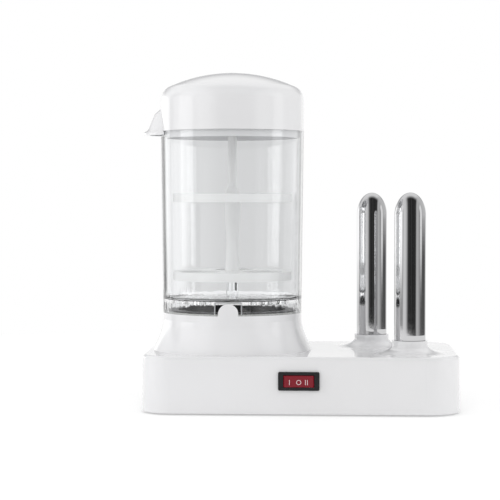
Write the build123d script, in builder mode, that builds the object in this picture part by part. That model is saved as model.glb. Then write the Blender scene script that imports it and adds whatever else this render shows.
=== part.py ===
from build123d import *
from math import atan2, cos, degrees, hypot, radians, sin, sqrt, tan
import os

os.makedirs("parts", exist_ok=True)

# Counter-top hot dog maker: a clear steam jar with two egg trays stands on a heated tower,
# and two heated bun spikes stand on the low deck beside it. Millimetres, +Z up, front towards -Y.
# The origin lies on the table, under the middle of the overall box.

# Base moulding
base_length = 252.0
base_depth = 144.0
base_left_reach = 69.0
foot_height = 1.5
deck_height = 46.0
base_wall = 2.5
side_draft = 0.8
left_corner_radius = 24.0
right_corner_radius = 28.0
deck_edge_round = 2.5
overrun = 5.0

# Tower and its flare onto the deck
tower_radius = 56.7
rim_height = 76.5
rim_round = 0.6
flare_height_share = 0.82
flare_bend_share = 0.66
flare_reach = 8.8
tongue_width = 16.0
tongue_height = 9.5
tongue_thickness = 2.4

# Spike collars on the deck
rear_spike_setback = 68.0
front_spike_setback = 39.0
spike_side_share = 5 / 24
collar_radius = 14.3
collar_height = 10.0
collar_ring_height = 3.4
mound_reach = 19.0
mound_height_share = 0.55
mound_reach_share = 0.26

# Bottom cover, feet and screws
cover_thickness = 2.6
cover_gap = 0.3
vent_length = 26.0
vent_width = 3.0
vent_pitch = 8.0
vent_count = 4
foot_radius = 8.0
foot_round = 0.8
foot_stem_radius = 2.6
foot_stem_bead = 0.7
foot_stem_gap = 0.2
foot_inset = 24.0
pillar_radius = 4.2
pillar_inset = 14.0
screw_radius = 1.5
screw_gap = 0.1
screw_hole_gap = 0.4
screw_length = 13.0
screw_head_radius = 3.0
screw_head_height = 1.5
screw_head_gap = 0.3
screw_slot_width = 0.8
screw_slot_depth = 0.7

# Boiler pan in the tower
pan_flange_inset = 4.7
pan_flange_width = 8.0
pan_wall = 1.2
pan_depth = 14.0
pan_corner_radius = 5.0
pan_clearance = 1.2
gasket_height = 1.0
gasket_width = 5.0
element_inset = 14.0
element_size = 6.4
element_round = 2.0
element_arc = 300.0
element_pin_radius = 1.6
element_pin_drop = 7.0
thermostat_radius = 8.0
thermostat_cap_radius = 6.6
thermostat_cap_height = 2.0
blade_thickness = 0.8
blade_width = 4.8
blade_length = 7.0
bracket_width = 10.0
bracket_thickness = 1.2
bracket_boss_radius = 4.0
bracket_boss_sink = 0.4
bracket_screw_length = 8.0
bracket_end_gap = 0.6
fuse_radius = 2.2
fuse_length = 12.0
fuse_lead_radius = 0.6
fuse_lead_length = 8.0
fuse_clip_thickness = 0.6
fuse_clip_width = 5.0

# Bun spikes
spike_radius = 12.5
spike_wall = 0.8
spike_foot_step = 0.7
spike_foot_gap = 0.3
spike_straight_height = 100.0
spike_tip_height = 18.0
tip_bulge_share = 0.55
spike_flange_width = 4.0
spike_flange_height = 2.0
spike_fit_gap = 0.05
bush_height = 9.0
bush_lead_spacing = 6.0
heater_radius = 6.5
heater_end_gap = 9.5
heater_fin_thickness = 0.8
heater_fin_gap = 0.3
heater_fin_count = 3
plate_thickness = 1.5
plate_edge = 8.0
plate_opening_radius = 7.5
plate_screw_length = 4.5
plate_boss_radius = 3.4
plate_boss_gap = 0.3

# Rocker switch in the front wall
switch_setback = 1.0
switch_height = 27.3
bezel_width = 32.2
bezel_height = 14.5
bezel_proud = 2.0
bezel_round = 1.2
bezel_edge_round = 0.5
panel_gap = 0.1
cutout_gap = 0.25
rocker_width = 22.3
rocker_height = 9.1
rocker_proud = 1.2
rocker_dip = 0.8
rocker_depth = 3.0
rocker_gap = 0.35
rocker_edge_round = 0.4
pivot_depth = 5.0
pivot_radius = 1.3
pivot_gap = 0.05
pivot_length = 0.9
switch_wall = 1.2
switch_blade_pitch = 8.0

# Cord gland and terminal block
gland_setback = 83.0
gland_height = 18.0
gland_bore_radius = 3.7
gland_neck_radius = 5.4
gland_flange_radius = 7.0
gland_flange_thickness = 3.0
gland_barb_thickness = 2.0
gland_gap = 0.25
gland_flange_round = 0.8
block_length = 30.0
block_width = 16.0
block_height = 11.0
block_bore_radius = 2.4
block_bore_rise = 4.0
block_pole_pitch = 9.0
block_well_radius = 2.2
block_well_depth = 3.0
block_screw_gap = 0.3
block_screw_height = 2.4
block_rear_gap = 16.0

# Leads inside the base
lead_radius = 1.1
lead_bend = 3.0
lead_side_gap = 0.1
lead_insert = 6.0
pan_feed_rise_y = -22.0
live_run_y = -20.0
fuse_lead_drop = 5.1
fuse_lead_out = 6.0
thermostat_lead_drop = 4.0

# Jar
jar_height = 147.3
jar_widening = 1.9
jar_wall = 2.5
jar_floor_rise = 8.4
jar_floor_thickness = 2.5
jar_floor_round = 3.0
spigot_radius = 5.0
spigot_height = 15.4
spigot_pin_radius = 3.4
spigot_pin_height = 9.0
steam_hole_radius = 3.0
steam_hole_count = 6
steam_circle_radius = 30.0
notch_side_gap = 2.2
notch_top_gap = 0.6

# Lid
lid_height = 47.8
lid_wall = 2.2
lid_dome_radius = 124.0
lid_shoulder_radius = 12.0
lid_plug_depth = 5.5
lid_plug_wall = 2.0
lid_plug_gap = 0.4
vent_hole_radius = 1.5
vent_hole_count = 4
vent_circle_radius = 14.0
beak_overhang = 15.0
beak_tip_radius = 25.6
beak_drop = 3.0
beak_lip_thickness = 1.6
beak_lip_width = 4.2
beak_lip_rise = 4.3
beak_brow_height = 14.2
beak_brow_setback = 9.6
beak_crown_height = 27.8
beak_wall = 1.8
beak_brow_round = 10.0
beak_lip_round = 3.0
beak_jar_gap = 0.5

# Egg trays
tray_inset = 8.2
tray_height = 7.0
tray_plate = 2.4
tray_rim_wall = 2.0
tray_edge_round = 0.6
tray_spacing = 63.4
egg_hole_share = 0.3402
egg_circle_share = 0.5876
egg_hole_count = 3
egg_lip_width = 1.6
egg_lip_height = 3.4
tray_rib_thickness = 1.8
tray_hub_radius = 7.0
stem_foot_radius = 6.0
stem_seam_radius = 4.7
stem_seam_rise = 26.2
stem_pin_radius = 3.2
stem_pin_height = 24.0
stem_fit_gap = 0.3
stem_end_gap = 1.0
socket_top_radius = 6.6
socket_end_radius = 5.2
post_radius = 3.5
post_foot_radius = 6.0
post_foot_height = 6.0
post_height = 62.8
grip_radius = 6.0
grip_height = 7.0
grip_round = 1.5

# Places that follow from the sizes above
jar_top_height = rim_height + jar_height
jar_top_radius = tower_radius + jar_widening
lid_top_height = jar_top_height + lid_height
beak_reach = jar_top_radius + beak_overhang
jar_x = (beak_reach - (base_length - base_left_reach)) / 2
base_mid_x = jar_x - base_left_reach + base_length / 2
base_right_x = base_mid_x + base_length / 2
draft_slope = tan(radians(side_draft))
cavity_top = deck_height - base_wall
collar_top = deck_height + collar_height
flare_height = flare_height_share * (rim_height - deck_height)
cover_top = foot_height + cover_thickness
lip_underside = rim_height - base_wall
pan_flange_radius = tower_radius - pan_flange_inset
pan_radius = pan_flange_radius - pan_flange_width
element_radius = pan_radius - element_inset
lip_bore_radius = pan_radius + pan_wall + pan_clearance
gasket_top = rim_height + gasket_height
pan_rim_top = gasket_top + pan_wall
pan_underside = pan_rim_top - pan_depth - pan_wall
bracket_top = pan_underside - element_size
bracket_bottom = bracket_top - bracket_thickness
boss_circle_radius = tower_radius - base_wall - bracket_boss_radius + bracket_boss_sink
tray_radius = tower_radius - tray_inset
egg_hole_radius = egg_hole_share * tray_radius
egg_circle_radius = egg_circle_share * tray_radius
tray_seat = rim_height + jar_floor_rise + jar_floor_thickness + spigot_height
upper_tray_seat = tray_seat + tray_spacing
stem_seam = tray_seat + tray_height + stem_seam_rise
spike_places = {
    "rear": (base_right_x - rear_spike_setback, spike_side_share * base_depth),
    "front": (base_right_x - front_spike_setback, -spike_side_share * base_depth),
}
spike_foot_radius = spike_radius - spike_foot_step
spike_foot_bottom = cavity_top - spike_flange_height
spike_straight_top = collar_top + spike_straight_height
heater_bottom = spike_foot_bottom + bush_height
heater_length = spike_straight_top - heater_end_gap - heater_bottom
switch_x = base_mid_x - switch_setback
panel_drop = switch_height - bezel_height / 2 - foot_height
panel_y = -base_depth / 2 + panel_drop * draft_slope - panel_gap
bezel_front_y = panel_y - bezel_proud
pivot_y = bezel_front_y + pivot_depth
rocker_reach = hypot(rocker_width / 2, pivot_depth + rocker_proud)
switch_cavity_radius = rocker_reach + rocker_gap
gland_x = base_right_x - gland_setback
gland_wall_y = base_depth / 2 - (gland_height - gland_flange_radius - foot_height) * draft_slope


def side_plane(x, y):
    """Upright plane through a place: its own x is the radius, its own y the height."""
    return Plane((x, y, 0), x_dir=(1, 0, 0), z_dir=(0, -1, 0))


def upright(x, y):
    """Vertical axis through a place."""
    return Axis((x, y, 0), (0, 0, 1))


def base_outline(inset):
    """Plan of the base at its lower edge, drawn in by the inset."""
    with BuildSketch(Plane.XY.offset(foot_height)) as outline:
        with Locations((base_mid_x, 0)):
            Rectangle(base_length - 2 * inset, base_depth - 2 * inset)
        fillet(outline.vertices().sort_by(Axis.X)[:2], left_corner_radius - inset)
        fillet(outline.vertices().sort_by(Axis.X)[-2:], right_corner_radius - inset)
    return outline.sketch


def tower_form(inset):
    """Tower with its concave flare, turned about the jar's axis and kept within the base's sides."""
    radius = tower_radius - inset
    deck = deck_height - inset
    foot = deck - deck_edge_round
    top = rim_height - inset
    with BuildPart() as tower:
        with BuildSketch(side_plane(jar_x, 0)):
            with BuildLine():
                flare = Bezier(
                    (radius + flare_reach, deck),
                    (radius, deck + flare_bend_share * flare_height),
                    (radius, deck + flare_height),
                )
                Polyline(
                    flare @ 1,
                    (radius, top),
                    (0, top),
                    (0, foot),
                    (radius + flare_reach, foot),
                    flare @ 0,
                )
            make_face()
        revolve(axis=upright(jar_x, 0))
        extrude(base_outline(inset), amount=rim_height, taper=side_draft, mode=Mode.INTERSECT)
    return tower.part


def base_form(inset, edge_round):
    """Whole outside of the base, or with an inset the hollow inside it."""
    tower = tower_form(inset)
    with BuildPart() as form:
        extrude(base_outline(inset), amount=deck_height - foot_height - inset, taper=side_draft)
        if edge_round > 0:
            fillet(form.faces().sort_by(Axis.Z)[-1].edges(), edge_round)
        add(tower)
    return form.part


def pillar_places():
    """Four screw pillars near the corners of the base."""
    left = base_mid_x - base_length / 2 + pillar_inset
    right = base_mid_x + base_length / 2 - pillar_inset
    side = base_depth / 2 - pillar_inset
    return [(x, y) for x in (left, right) for y in (-side, side)]


def foot_places():
    """Four feet, further in than the pillars."""
    left = base_mid_x - base_length / 2 + foot_inset
    right = base_mid_x + base_length / 2 - foot_inset
    side = base_depth / 2 - foot_inset
    return [(x, y) for x in (left, right) for y in (-side, side)]


def plate_screw_places():
    """Two screws past the ends of the spike plate and two across its middle, in the plate's own frame."""
    ends = plate_length / 2 + spike_foot_radius + spike_flange_width + plate_boss_radius + plate_boss_gap
    return [(-ends, 0), (ends, 0), (0, -plate_half_width / 2), (0, plate_half_width / 2)]


def screw(place, length, up=True):
    """Solid of one pan-head screw with a driver slot, its head's seat at the place."""
    way = 1 if up else -1
    plane = Plane(place, x_dir=(1, 0, 0), z_dir=(0, 0, way))
    with BuildPart() as one:
        with BuildSketch(plane):
            Circle(screw_radius)
        extrude(amount=length)
        with BuildSketch(plane):
            Circle(screw_head_radius)
        extrude(amount=-screw_head_height)
        with BuildSketch(plane.offset(-screw_head_height)):
            Rectangle(2 * screw_head_radius + overrun, screw_slot_width)
        extrude(amount=screw_slot_depth, mode=Mode.SUBTRACT)
    return one.part


# Spike plate frame: its x runs from the rear spike to the front one
rear_x, rear_y = spike_places["rear"]
front_x, front_y = spike_places["front"]
plate_length = hypot(front_x - rear_x, front_y - rear_y)
plate_turn = degrees(atan2(front_y - rear_y, front_x - rear_x))
plate_half_width = spike_foot_radius + spike_flange_width + plate_edge
plate_mid = ((rear_x + front_x) / 2, (rear_y + front_y) / 2)
plate_plane = Plane((plate_mid[0], plate_mid[1], spike_foot_bottom)).rotated((0, 0, plate_turn))

# Base housing: one moulding with the tower, the locating tongue, the spike collars and the inner bosses
outer_form = base_form(0, deck_edge_round)
inner_form = base_form(base_wall, 0)

with BuildPart() as tongue:
    with BuildSketch(Plane.XZ):
        with BuildLine():
            edge = Polyline(
                (jar_x - tongue_width / 2, rim_height + tongue_height - tongue_width / 2),
                (jar_x - tongue_width / 2, rim_height - base_wall),
                (jar_x + tongue_width / 2, rim_height - base_wall),
                (jar_x + tongue_width / 2, rim_height + tongue_height - tongue_width / 2),
            )
            ThreePointArc(edge @ 1, (jar_x, rim_height + tongue_height), edge @ 0)
        make_face()
    extrude(amount=tower_radius + overrun)
    with BuildSketch(Plane.XY):
        with Locations((jar_x, 0)):
            Circle(tower_radius)
            Circle(tower_radius - tongue_thickness, mode=Mode.SUBTRACT)
    extrude(amount=rim_height + tongue_height + overrun, mode=Mode.INTERSECT)

with BuildPart() as collars:
    for x, y in spike_places.values():
        ring_bottom = collar_top - collar_ring_height
        mound_foot = collar_radius + mound_reach
        with BuildSketch(side_plane(x, y)):
            with BuildLine():
                ring = Polyline(
                    (0, deck_height - base_wall / 2),
                    (0, collar_top),
                    (collar_radius, collar_top),
                    (collar_radius, ring_bottom),
                )
                slope = Bezier(
                    ring @ 1,
                    (collar_radius, deck_height + mound_height_share * (ring_bottom - deck_height)),
                    (collar_radius + mound_reach_share * mound_reach, deck_height),
                    (mound_foot, deck_height),
                )
                Polyline(slope @ 1, (mound_foot, deck_height - base_wall / 2), ring @ 0)
            make_face()
        revolve(axis=upright(x, y))
    extrude(base_outline(0), amount=collar_top - foot_height, taper=side_draft, mode=Mode.INTERSECT)

with BuildPart() as base_housing:
    add(outer_form)
    fillet(base_housing.faces().sort_by(Axis.Z)[-1].edges(), rim_round)
    add(collars.part)
    add(inner_form, mode=Mode.SUBTRACT)
    add(tongue.part)
    # Screw pillars and the shorter bosses for the pan bracket and the spike plate
    with BuildSketch(Plane.XY.offset(cover_top)):
        with Locations(*pillar_places()):
            Circle(pillar_radius)
    extrude(amount=cavity_top - cover_top + base_wall / 2)
    with BuildSketch(Plane.XY.offset(bracket_top)):
        with Locations((jar_x, 0)):
            with PolarLocations(boss_circle_radius, 2):
                Circle(bracket_boss_radius)
    extrude(amount=lip_underside - bracket_top + base_wall / 2)
    with BuildSketch(plate_plane):
        with Locations(*plate_screw_places()):
            Circle(plate_boss_radius)
    extrude(amount=spike_flange_height + base_wall / 2)
    # Holes: pan opening, spike bores, screw pilots, switch cut-out and cord gland
    with BuildSketch(Plane.XY.offset(lip_underside - overrun)):
        with Locations((jar_x, 0)):
            Circle(lip_bore_radius)
    extrude(amount=2 * overrun + base_wall, mode=Mode.SUBTRACT)
    with BuildSketch(Plane.XY.offset(cavity_top - overrun)):
        with Locations(*spike_places.values()):
            Circle(spike_foot_radius + spike_foot_gap)
    extrude(amount=collar_top - cavity_top + 2 * overrun, mode=Mode.SUBTRACT)
    with BuildSketch(Plane.XY.offset(cover_top)):
        with Locations(*pillar_places()):
            Circle(screw_radius + screw_gap)
    extrude(amount=screw_length, mode=Mode.SUBTRACT)
    with BuildSketch(Plane.XY.offset(bracket_top)):
        with Locations((jar_x, 0)):
            with PolarLocations(boss_circle_radius, 2):
                Circle(screw_radius + screw_gap)
    extrude(amount=bracket_screw_length, mode=Mode.SUBTRACT)
    with BuildSketch(plate_plane):
        with Locations(*plate_screw_places()):
            Circle(screw_radius + screw_gap)
    extrude(amount=plate_screw_length - plate_thickness, mode=Mode.SUBTRACT)
    with BuildSketch(Plane.XZ.offset(base_depth / 2 + overrun)):
        with Locations((switch_x, switch_height)):
            Rectangle(
                2 * (switch_cavity_radius + switch_wall + cutout_gap),
                rocker_height + 2 * (rocker_gap + switch_wall + cutout_gap),
            )
    extrude(amount=-(base_wall + 2 * overrun), mode=Mode.SUBTRACT)
    with BuildSketch(Plane.XZ.offset(-base_depth / 2 - overrun)):
        with Locations((gland_x, gland_height)):
            Circle(gland_neck_radius + gland_gap)
    extrude(amount=base_wall + 2 * overrun, mode=Mode.SUBTRACT)
base_housing.part.label = "base_housing"
export_step(base_housing.part, "parts/base_housing.step")

# Bottom cover with vent slots, foot holes and sunk screw holes
with BuildPart() as bottom_cover:
    extrude(base_outline(base_wall + cover_gap), amount=cover_thickness, taper=side_draft)
    with BuildSketch(Plane.XY.offset(foot_height)):
        with Locations((jar_x, 0), plate_mid):
            with GridLocations(vent_pitch, 0, vent_count, 1):
                SlotOverall(vent_length, vent_width, rotation=90)
    extrude(amount=cover_thickness, mode=Mode.SUBTRACT)
    with BuildSketch(Plane.XY.offset(foot_height)):
        with Locations(*foot_places()):
            Circle(foot_stem_radius + foot_stem_gap)
        with Locations(*pillar_places()):
            Circle(screw_radius + screw_hole_gap)
    extrude(amount=cover_thickness, mode=Mode.SUBTRACT)
    with BuildSketch(Plane.XY.offset(foot_height)):
        with Locations(*pillar_places()):
            Circle(screw_head_radius + screw_head_gap)
    extrude(amount=screw_head_height, mode=Mode.SUBTRACT)
bottom_cover.part.label = "bottom_cover"
export_step(bottom_cover.part, "parts/bottom_cover.step")

with BuildPart() as rubber_feet:
    for x, y in foot_places():
        with BuildSketch(side_plane(x, y)) as foot_profile:
            with BuildLine():
                bead_top = cover_top + foot_stem_radius
                Polyline(
                    (0, 0),
                    (foot_radius, 0),
                    (foot_radius, foot_height),
                    (foot_stem_radius, foot_height),
                    (foot_stem_radius, cover_top + foot_stem_gap),
                    (foot_stem_radius + foot_stem_bead, cover_top + foot_stem_gap),
                    (foot_stem_radius - foot_stem_bead, bead_top),
                    (0, bead_top),
                    close=True,
                )
            make_face()
            fillet(foot_profile.vertices().sort_by(Axis.X)[-2:].sort_by(Axis.Y)[0], foot_round)
        revolve(axis=upright(x, y))
rubber_feet.part.label = "rubber_feet"
export_step(rubber_feet.part, "parts/rubber_feet.step")

with BuildPart() as cover_screws:
    for x, y in pillar_places():
        add(screw((x, y, foot_height + screw_head_height), screw_length))
cover_screws.part.label = "cover_screws"
export_step(cover_screws.part, "parts/cover_screws.step")

# Boiler pan: a spun dish hung by its flange on a silicone ring
with BuildPart() as boiler_pan:
    with BuildSketch(side_plane(jar_x, 0)) as pan_profile:
        with BuildLine():
            Polyline(
                (0, pan_underside),
                (pan_radius + pan_wall, pan_underside),
                (pan_radius + pan_wall, gasket_top),
                (pan_flange_radius, gasket_top),
                (pan_flange_radius, pan_rim_top),
                (pan_radius, pan_rim_top),
                (pan_radius, pan_underside + pan_wall),
                (0, pan_underside + pan_wall),
                close=True,
            )
        make_face()
        low = pan_profile.vertices().group_by(Axis.Y)
        fillet(low[0].sort_by(Axis.X)[-1], pan_corner_radius + pan_wall)
        fillet(pan_profile.vertices().filter_by_position(
            Axis.X, pan_radius, pan_radius).sort_by(Axis.Y)[0], pan_corner_radius)
    revolve(axis=upright(jar_x, 0))
boiler_pan.part.label = "boiler_pan"
export_step(boiler_pan.part, "parts/boiler_pan.step")

with BuildPart() as pan_gasket:
    with BuildSketch(Plane.XY.offset(rim_height)):
        with Locations((jar_x, 0)):
            Circle(pan_flange_radius)
            Circle(pan_flange_radius - gasket_width, mode=Mode.SUBTRACT)
    extrude(amount=gasket_height)
pan_gasket.part.label = "pan_gasket"
export_step(pan_gasket.part, "parts/pan_gasket.step")

# Ring element pressed flat against the pan, with two cold pins pointing down
element_half_gap = radians((360 - element_arc) / 2)
element_ends = [
    (jar_x + element_radius * sin(way * element_half_gap), element_radius * cos(element_half_gap))
    for way in (-1, 1)
]
with BuildPart() as heating_ring:
    start_turn = 90 + degrees(element_half_gap)
    with BuildSketch(Plane((jar_x, 0, 0), x_dir=(cos(radians(start_turn)), sin(radians(start_turn)), 0),
                           z_dir=(sin(radians(start_turn)), -cos(radians(start_turn)), 0))):
        with Locations((element_radius, pan_underside - element_size / 2)):
            RectangleRounded(element_size, element_size, element_round)
    revolve(axis=upright(jar_x, 0), revolution_arc=element_arc)
    with BuildSketch(Plane.XY.offset(pan_underside - element_size - element_pin_drop)):
        with Locations(*element_ends):
            Circle(element_pin_radius)
    extrude(amount=element_pin_drop + element_size / 2)
heating_ring.part.label = "heating_ring"
export_step(heating_ring.part, "parts/heating_ring.step")

# Strap across the tower that holds the pan, the ring and the thermostat up
bracket_reach = sqrt((tower_radius - base_wall - bracket_end_gap) ** 2 - (bracket_width / 2) ** 2)
with BuildPart() as pan_bracket:
    with BuildSketch(Plane.XY.offset(bracket_bottom)):
        with Locations((jar_x, 0)):
            SlotOverall(2 * bracket_reach, bracket_width)
            with PolarLocations(boss_circle_radius, 2):
                Circle(screw_radius + screw_hole_gap, mode=Mode.SUBTRACT)
    extrude(amount=bracket_thickness)
    # Saddle bent down from the strap for the thermal fuse
    with BuildSketch(Plane.YZ.offset(jar_x + element_radius / 2)):
        with Locations((0, bracket_bottom - fuse_radius)):
            Circle(fuse_radius + fuse_clip_thickness + spike_fit_gap)
            Circle(fuse_radius + spike_fit_gap, mode=Mode.SUBTRACT)
    extrude(amount=fuse_clip_width / 2, both=True)
pan_bracket.part.label = "pan_bracket"
export_step(pan_bracket.part, "parts/pan_bracket.step")

with BuildPart() as bracket_screws:
    for way in (-1, 1):
        add(screw((jar_x + way * boss_circle_radius, 0, bracket_bottom), bracket_screw_length))
bracket_screws.part.label = "bracket_screws"
export_step(bracket_screws.part, "parts/bracket_screws.step")

with BuildPart() as thermostat:
    with BuildSketch(Plane.XY.offset(bracket_top)):
        with Locations((jar_x, 0)):
            Circle(thermostat_radius)
    extrude(amount=element_size - thermostat_cap_height)
    with BuildSketch(Plane.XY.offset(pan_underside - thermostat_cap_height)):
        with Locations((jar_x, 0)):
            Circle(thermostat_cap_radius)
    extrude(amount=thermostat_cap_height)
    with BuildSketch(Plane.XY.offset(bracket_top + blade_thickness)):
        with Locations((jar_x, 0)):
            Rectangle(blade_width, 2 * (thermostat_radius + blade_length))
    extrude(amount=blade_thickness)
thermostat.part.label = "thermostat"
export_step(thermostat.part, "parts/thermostat.step")

fuse_z = bracket_bottom - fuse_radius
with BuildPart() as thermal_fuse:
    with BuildSketch(Plane.YZ.offset(jar_x + element_radius / 2)):
        with Locations((0, fuse_z)):
            Circle(fuse_radius)
    extrude(amount=fuse_length / 2, both=True)
    with BuildSketch(Plane.YZ.offset(jar_x + element_radius / 2)):
        with Locations((0, fuse_z)):
            Circle(fuse_lead_radius)
    extrude(amount=fuse_length / 2 + fuse_lead_length, both=True)
thermal_fuse.part.label = "thermal_fuse"
export_step(thermal_fuse.part, "parts/thermal_fuse.step")


def tip_points(radius, height):
    """Control points of a bullet tip that starts upright on the wall and ends level on the axis."""
    return [
        (radius, spike_straight_top),
        (radius, spike_straight_top + tip_bulge_share * height),
        (tip_bulge_share * radius, spike_straight_top + height),
        (0, spike_straight_top + height),
    ]


def spike(place):
    """Thin closed tube: a necked foot in the collar, a straight wall and a bullet tip."""
    inner = spike_foot_radius - spike_wall
    with BuildPart() as tube:
        with BuildSketch(side_plane(*place)):
            with BuildLine():
                wall = Polyline(
                    (inner, spike_foot_bottom),
                    (spike_foot_radius, spike_foot_bottom),
                    (spike_foot_radius, collar_top),
                    (spike_radius, collar_top),
                    (spike_radius, spike_straight_top),
                )
                outside = Bezier(*tip_points(spike_radius, spike_tip_height))
                inside = Bezier(*tip_points(inner, spike_tip_height - spike_wall))
                Line(outside @ 1, inside @ 1)
                Line(inside @ 0, wall @ 0)
            make_face()
        revolve(axis=upright(*place))
    return tube.part


def spike_heater(place):
    """Ceramic cartridge with three spring fins that centre it in the tube."""
    fin_reach = spike_foot_radius - spike_wall - heater_fin_gap
    with BuildPart() as cartridge:
        with BuildSketch(Plane.XY.offset(heater_bottom)):
            with Locations(place):
                Circle(heater_radius)
                with PolarLocations(fin_reach / 2, heater_fin_count):
                    Rectangle(fin_reach, heater_fin_thickness)
        extrude(amount=heater_length)
    return cartridge.part


def spike_bush(place):
    """Ceramic plug in the foot of a spike, with two lead holes."""
    with BuildPart() as plug:
        with BuildSketch(Plane.XY.offset(spike_foot_bottom)):
            with Locations(place):
                Circle(spike_foot_radius - spike_wall - spike_fit_gap)
                with GridLocations(bush_lead_spacing, 0, 2, 1):
                    Circle(lead_radius + spike_fit_gap, mode=Mode.SUBTRACT)
        extrude(amount=bush_height)
    return plug.part


with BuildPart() as rear_spike:
    add(spike(spike_places["rear"]))
rear_spike.part.label = "rear_spike"
export_step(rear_spike.part, "parts/rear_spike.step")

with BuildPart() as front_spike:
    add(spike(spike_places["front"]))
front_spike.part.label = "front_spike"
export_step(front_spike.part, "parts/front_spike.step")

with BuildPart() as rear_spike_heater:
    add(spike_heater(spike_places["rear"]))
rear_spike_heater.part.label = "rear_spike_heater"
export_step(rear_spike_heater.part, "parts/rear_spike_heater.step")

with BuildPart() as front_spike_heater:
    add(spike_heater(spike_places["front"]))
front_spike_heater.part.label = "front_spike_heater"
export_step(front_spike_heater.part, "parts/front_spike_heater.step")

with BuildPart() as rear_spike_bush:
    add(spike_bush(spike_places["rear"]))
rear_spike_bush.part.label = "rear_spike_bush"
export_step(rear_spike_bush.part, "parts/rear_spike_bush.step")

with BuildPart() as front_spike_bush:
    add(spike_bush(spike_places["front"]))
front_spike_bush.part.label = "front_spike_bush"
export_step(front_spike_bush.part, "parts/front_spike_bush.step")

# Flange rings brazed round the spike feet, pressed against the deck by one plate
with BuildPart() as spike_flanges:
    with BuildSketch(Plane.XY.offset(spike_foot_bottom)):
        with Locations(*spike_places.values()):
            Circle(spike_foot_radius + spike_flange_width)
            Circle(spike_foot_radius + spike_fit_gap, mode=Mode.SUBTRACT)
    extrude(amount=spike_flange_height)
spike_flanges.part.label = "spike_flanges"
export_step(spike_flanges.part, "parts/spike_flanges.step")

with BuildPart() as spike_plate:
    with BuildSketch(plate_plane):
        SlotCenterToCenter(plate_length, 2 * plate_half_width)
        with Locations((-plate_length / 2, 0), (plate_length / 2, 0)):
            Circle(plate_opening_radius, mode=Mode.SUBTRACT)
        with Locations(*plate_screw_places()):
            Circle(screw_radius + screw_hole_gap, mode=Mode.SUBTRACT)
    extrude(amount=-plate_thickness)
spike_plate.part.label = "spike_plate"
export_step(spike_plate.part, "parts/spike_plate.step")

with BuildPart() as spike_plate_screws:
    for u, v in plate_screw_places():
        seat = plate_plane.from_local_coords((u, v, -plate_thickness))
        add(screw(seat, plate_screw_length))
spike_plate_screws.part.label = "spike_plate_screws"
export_step(spike_plate_screws.part, "parts/spike_plate_screws.step")

# Rocker switch: a black snap-in body with a bezel, and a red rocker that tilts on two side pins
switch_front = Plane((switch_x, bezel_front_y, switch_height), x_dir=(1, 0, 0), z_dir=(0, -1, 0))
switch_back_y = pivot_y + switch_cavity_radius + switch_wall
cavity_height = rocker_height + 2 * rocker_gap
pivot_plane = Plane((switch_x, pivot_y, switch_height))
with BuildPart() as switch_body:
    with BuildSketch(switch_front):
        RectangleRounded(bezel_width, bezel_height, bezel_round)
    extrude(amount=-bezel_proud)
    fillet(switch_body.faces().sort_by(Axis.Y)[0].edges(), bezel_edge_round)
    with BuildSketch(switch_front.offset(-bezel_proud)):
        Rectangle(2 * (switch_cavity_radius + switch_wall), cavity_height + 2 * switch_wall)
    extrude(amount=panel_y - switch_back_y)
    with BuildSketch(pivot_plane.offset(-cavity_height / 2)):
        Circle(switch_cavity_radius)
    extrude(amount=cavity_height, mode=Mode.SUBTRACT)
    with BuildSketch(pivot_plane.offset(-cavity_height / 2 - switch_wall)):
        Circle(pivot_radius + pivot_gap)
    extrude(amount=cavity_height + 2 * switch_wall, mode=Mode.SUBTRACT)
switch_body.part.label = "switch_body"
export_step(switch_body.part, "parts/switch_body.step")

with BuildPart() as rocker_form:
    with BuildSketch(Plane.XY.offset(-rocker_height / 2)):
        with BuildLine():
            face_y = -(pivot_depth + rocker_proud)
            back_reach = sqrt(rocker_reach ** 2 - rocker_depth ** 2)
            front = ThreePointArc(
                (-rocker_width / 2, face_y),
                (0, face_y + rocker_dip),
                (rocker_width / 2, face_y),
            )
            right = ThreePointArc(front @ 1, (rocker_reach, 0), (back_reach, rocker_depth))
            back = Line(right @ 1, (-back_reach, rocker_depth))
            ThreePointArc(back @ 1, (-rocker_reach, 0), front @ 0)
        make_face()
    extrude(amount=rocker_height)
    face_edges = rocker_form.faces().sort_by(Axis.Y)[0].edges().filter_by(Axis.Z, reverse=True)
    fillet(face_edges, rocker_edge_round)
    with BuildSketch(Plane.XY.offset(-rocker_height / 2 - rocker_gap - pivot_length)):
        Circle(pivot_radius)
    extrude(amount=rocker_height + 2 * (rocker_gap + pivot_length))

with BuildPart() as switch_rocker:
    add(rocker_form.part.moved(pivot_plane.location))
switch_rocker.part.label = "switch_rocker"
export_step(switch_rocker.part, "parts/switch_rocker.step")

with BuildPart() as switch_terminals:
    with BuildSketch(Plane.XZ.offset(-switch_back_y)):
        with Locations((switch_x, switch_height)):
            with GridLocations(switch_blade_pitch, 0, 3, 1):
                Rectangle(blade_thickness, blade_width)
    extrude(amount=-blade_length)
switch_terminals.part.label = "switch_terminals"
export_step(switch_terminals.part, "parts/switch_terminals.step")

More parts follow.
